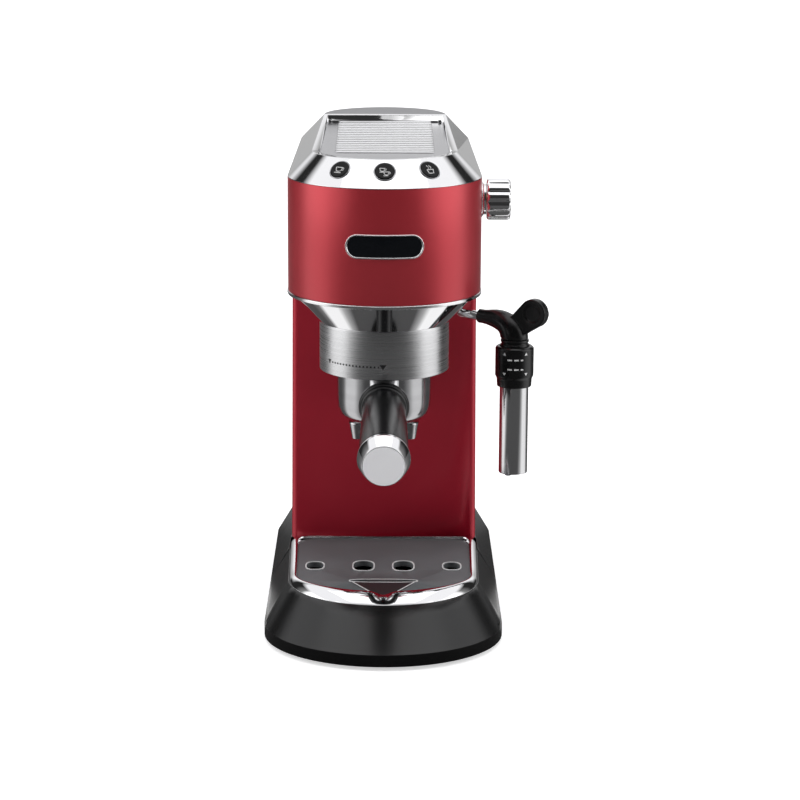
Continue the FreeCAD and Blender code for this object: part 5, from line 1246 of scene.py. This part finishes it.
@dataclass
class SteamWand:
    """Grip, froth tube, selector sleeve and their marks, about the wand's vertical axis."""

    voxel: float = 0.42 * MM
    stub_aside: float = 3.0 * MM

    def __post_init__(self) -> None:
        """Reads the wand's axis from the frame."""
        sleeve = Span.of("froth_selector")
        self.axis = Vector((sleeve.centre.x, sleeve.centre.y, 0.0))
        self.sleeve = sleeve

    def grip(self) -> None:
        """The moulded grip: elbow and thumb tab melted into one another."""
        mesh = Shape.copied("wand_grip")
        obj = bpy.data.objects.new("grip_work", mesh)
        bpy.context.scene.collection.objects.link(obj)
        remesh = obj.modifiers.new("even", "REMESH")
        remesh.mode = "VOXEL"
        remesh.voxel_size = self.voxel
        soft = obj.modifiers.new("melt", "SMOOTH")
        soft.factor = 0.5
        soft.iterations = 9
        bpy.context.view_layer.update()
        graph = bpy.context.evaluated_depsgraph_get()
        melted = bpy.data.meshes.new_from_object(obj.evaluated_get(graph))
        bpy.data.objects.remove(obj)
        Piece("wand_grip_moulding", "wand", "black_grip", replaces=("wand_grip",),
              smooth_angle=math.radians(70)).dress(melted)

    def tube(self) -> None:
        """The steel froth tube with its black neck, its plug and the nozzle's stub."""
        span = Span.of("froth_tube")
        r, end = span.size.x / 2 / MM, span.size.z / MM
        foot = self.axis + Axis.Z.value * span.low.z
        aside = foot - Axis.X.value * self.stub_aside
        wall = [(r - 0.8, 0.0), (r, 0.0), (r, end - 6.0), (r - 0.8, end - 6.0)]
        neck = [(4.0, end - 5.8), (r, end - 5.8), (9.1, end - 5.0), (9.1, end - 3.0), (8.5, end - 2.6),
                (8.5, end - 1.8), (9.1, end - 1.4), (9.1, end), (4.0, end)]
        stub = [(0.0, -2.4), (1.9, -2.4), (2.2, -2.0), (2.2, 2.0), (0.0, 2.0)]
        plug = [(0.0, 1.6), (r - 0.9, 1.6), (r - 0.9, 4.1), (0.0, 4.1)]
        for piece, mesh in (
                (Piece("froth_tube_neck", "wand", "black_grip"), Shape.lathe(neck, 0.15, 2, foot, None, 64)),
                (Piece("nozzle_stub", "wand", "black_rubber"), Shape.lathe(stub, 0.2, 2, aside, None, 32)),
                (Piece("froth_tube_sleeve", "wand", "steel_sheet", STEEL_TUBE, ("froth_tube",)),
                 Shape.lathe(wall, 0.35, 3, foot)),
                (Piece("froth_tube_plug", "wand", "steel_sheet", STEEL_TUBE),
                 Shape.lathe(plug, 0.2, 2, foot, None, 64))):
            piece.dress(mesh)

    def selector(self) -> None:
        """The sliding selector sleeve with its printed arrows and bars."""
        z0, z1 = self.sleeve.low.z, self.sleeve.high.z
        r, end, inner = self.sleeve.size.x / 2 / MM, (z1 - z0) / MM, 9.55
        section = [(inner, 0.0), (r - 1.3, 0.0), (r - 1.0, 5.4), (r, 7.2), (r, end - 1.2), (r - 1.2, end),
                   (inner, end)]
        Piece("selector_sleeve", "selector", "black_grip", replaces=("froth_selector",)).dress(
            Shape.lathe(section, 0.6, 4, self.axis + Axis.Z.value * z0))
        marks = []
        for turn in (-34.0, 34.0):
            marks.append(self.arrow(turn, z1 - 2.6 * MM, 1.0))
            marks.append(self.arrow(turn, z0 + 8.6 * MM, -1.0))
        for z in (z1 - 7.4 * MM, z1 - 13.6 * MM):
            for turn, half in ((-17.0, 7.0), (3.0, 7.0), (20.0, 4.0)):
                marks.append(self.bar(turn, z, half))
        Piece("selector_marks", "selector", "satin_disc", MARK_LIGHT).dress(Shape.joined(marks))

    def on_sleeve(self, turn: float, z: float, lift: float) -> Vector:
        """A point on the sleeve; turn is in degrees from the front, positive to the right."""
        r = self.sleeve.size.x / 2 + lift
        angle = math.radians(turn)
        return self.axis + Vector((r * math.sin(angle), -r * math.cos(angle), z))

    def raised(self, outline: Sequence[Point]) -> bpy.types.Mesh:
        """A printed shape on the sleeve from (turn, height) points."""
        lower = [self.on_sleeve(a, z, -0.05 * MM) for a, z in outline]
        upper = [self.on_sleeve(a, z, 0.07 * MM) for a, z in outline]
        return Shape.grid([lower, upper], cap=True)

    def arrow(self, turn: float, z: float, way: float) -> bpy.types.Mesh:
        """A small triangle that points up or down."""
        return self.raised([(turn - 5.5, z - way * 1.9 * MM), (turn, z - way * 1.9 * MM),
                            (turn + 5.5, z - way * 1.9 * MM), (turn, z)])

    def bar(self, turn: float, z: float, half: float) -> bpy.types.Mesh:
        """A short plain bar around the sleeve."""
        steps = 4
        low = [(turn - half + 2 * half * i / steps, z - 0.5 * MM) for i in range(steps + 1)]
        high = [(a, z + 0.5 * MM) for a, _ in reversed(low)]
        return self.raised(low + high)

    def build(self) -> None:
        """Builds the wand."""
        self.grip()
        self.tube()
        self.selector()


# ---------------------------------------------------------------- studio
@dataclass
class Studio:
    """Camera, floor, and the soft light of a white studio."""

    lens: float = 111.9
    sensor: float = 36.0
    distance: float = 1.5866
    height: float = 0.5002
    pitch: float = 13.156
    roll: float = 0.2
    shift: float = 0.02
    surroundings: tuple[Point, ...] = (
        (0.0, 0.03), (0.26, 0.03), (0.34, 0.7), (0.40, 1.9), (0.56, 1.9), (0.62, 0.25), (0.70, 0.02),
        (0.84, 0.02), (0.88, 0.42), (1.0, 0.48))
    floor_share: float = 0.5
    floor_glow: float = 0.62
    floor_half: float = 6.0

    def camera(self) -> None:
        """A long lens in front of the machine, a little above it."""
        data = bpy.data.cameras.new("camera")
        data.lens = self.lens
        data.sensor_width = self.sensor
        data.shift_x = self.shift
        obj = bpy.data.objects.new("camera", data)
        obj.location = (0.0, -self.distance, self.height)
        look = Matrix.Rotation(math.radians(90 - self.pitch), 4, "X")
        obj.rotation_euler = (look @ Matrix.Rotation(math.radians(self.roll), 4, "Z")).to_euler()
        bpy.context.scene.collection.objects.link(obj)
        bpy.context.scene.camera = obj

    def floor(self) -> None:
        """A wide pale floor. What it gives to reflections follows the surroundings."""
        half = self.floor_half
        mesh = bpy.data.meshes.new("floor")
        mesh.from_pydata([(-half, -half, 0), (half, -half, 0), (half, half, 0), (-half, half, 0)], [],
                         [(0, 1, 2, 3)])
        obj = bpy.data.objects.new("floor", mesh)
        bpy.context.scene.collection.objects.link(obj)
        material = bpy.data.materials.new("floor_paper")
        material.use_nodes = True
        w = Wiring(material.node_tree)
        noise = w.add("ShaderNodeTexNoise", {"Scale": 300.0})
        ramp = w.add("ShaderNodeValToRGB", {"Fac": noise.outputs["Fac"]})
        self._stops(ramp, ((0.0, 0.93), (1.0, 0.96)))
        around, _ = self._around(w, w.add("ShaderNodeTexCoord").outputs["Object"])
        path = w.add("ShaderNodeLightPath").outputs
        glossy, pale = path["Is Glossy Ray"], ramp.outputs["Color"]
        seen = w.math("MULTIPLY", path["Is Camera Ray"], self.floor_glow)
        w.fill(w.tree.nodes["Principled BSDF"], {
            "Roughness": 0.9, "Specular IOR Level": 0.1,
            "Base Color": w.mixed(glossy, pale, (0.08, 0.08, 0.08, 1.0)),
            "Emission Color": w.mixed(glossy, pale, around),
            "Emission Strength": w.math("MULTIPLY_ADD", glossy, self.floor_share, seen)})
        mesh.materials.append(material)

    def world(self) -> None:
        """White sides, a dark front and rear, a white ceiling and a white backdrop."""
        world = bpy.data.worlds.new("studio")
        bpy.context.scene.world = world
        world.use_nodes = True
        w = Wiring(world.node_tree)
        around, split = self._around(w, w.add("ShaderNodeTexCoord").outputs["Generated"])
        ceiling = self._both(w, (split.outputs["Z"], 0.52, 0.62), (split.outputs["Y"], -0.6, -0.3))
        backdrop = self._both(w, (split.outputs["Z"], 0.10, 0.26), (split.outputs["Y"], 0.75, 0.9))
        lit = w.mixed(w.math("MAXIMUM", ceiling, backdrop), around, (1.0, 1.0, 1.015, 1.0))
        seen = w.add("ShaderNodeLightPath").outputs["Is Camera Ray"]
        w.fill(w.tree.nodes["Background"], {"Color": w.mixed(seen, lit, (1.0, 1.0, 1.0, 1.0))})

    def _around(self, w: Wiring,
                direction: bpy.types.NodeSocket) -> tuple[bpy.types.NodeSocket, bpy.types.Node]:
        """Brightness of the surroundings in a direction, by how far round from the front it is.

        Args:
            w: the tree to build in.
            direction: the direction's socket.

        Returns:
            The brightness socket and the node that splits the direction.
        """
        split = w.add("ShaderNodeSeparateXYZ", {0: direction})
        across = w.math("ABSOLUTE", split.outputs["X"])
        ahead = w.math("MULTIPLY", split.outputs["Y"], -1.0)
        share = w.math("DIVIDE", w.math("ARCTAN2", across, ahead), math.pi)
        ramp = w.add("ShaderNodeValToRGB", {"Fac": share})
        self._stops(ramp, self.surroundings)
        return ramp.outputs["Color"], split

    @staticmethod
    def _both(w: Wiring, *parts: tuple[bpy.types.NodeSocket, float, float]) -> bpy.types.NodeSocket:
        """How far every part is past its range's start, multiplied together.

        Args:
            w: the tree to build in.
            parts: a value with the start and end of its range, twice.

        Returns:
            The product's socket.
        """
        spans = [w.add("ShaderNodeMapRange", {"From Min": start, "From Max": end, "Value": value})
                 for value, start, end in parts]
        return w.math("MULTIPLY", *(span.outputs["Result"] for span in spans))

    @staticmethod
    def _stops(ramp: bpy.types.Node, stops: Sequence[Point]) -> None:
        """Sets a grey ramp's stops."""
        elements = ramp.color_ramp.elements
        while len(elements) < len(stops):
            elements.new(0.5)
        for element, (position, value) in zip(elements, stops):
            element.position = position
            element.color = (value, value, value, 1.0)

    def area(self, name: str, place: Vector, aim: Vector, size: Point, power: float) -> None:
        """An area light that faces a point."""
        data = bpy.data.lights.new(name, "AREA")
        data.shape = "RECTANGLE"
        data.size, data.size_y = size
        data.energy = power
        obj = bpy.data.objects.new(name, data)
        obj.location = place
        obj.rotation_euler = (aim - place).to_track_quat("-Z", "Y").to_euler()
        bpy.context.scene.collection.objects.link(obj)

    def build(self) -> None:
        """Sets up the studio."""
        self.camera()
        self.floor()
        self.world()
        middle = Vector((0.0, 0.0, 0.15))
        self.area("key_left", Vector((-1.1, -0.9, 0.75)), middle, (0.5, 1.1), 1.1)
        self.area("key_right", Vector((1.15, -0.85, 0.75)), middle, (0.5, 1.1), 1.1)
        self.area("top", Vector((0.0, 0.05, 1.5)), middle, (1.4, 1.2), 2.2)
        bpy.context.scene.view_settings.view_transform = "Standard"


def main() -> None:
    """Builds the machine's looks in order."""
    logging.basicConfig(level=logging.INFO, format="%(message)s")
    Studio().build()
    for part in (CarriedNodes(), TrayRim(), GridTrim(), Head(), Controls(), Group(), FilterHolder(),
                 SteamWand()):
        LOG.info("building %s", type(part).__name__)
        part.build()


if __name__ == "__main__":
    main()
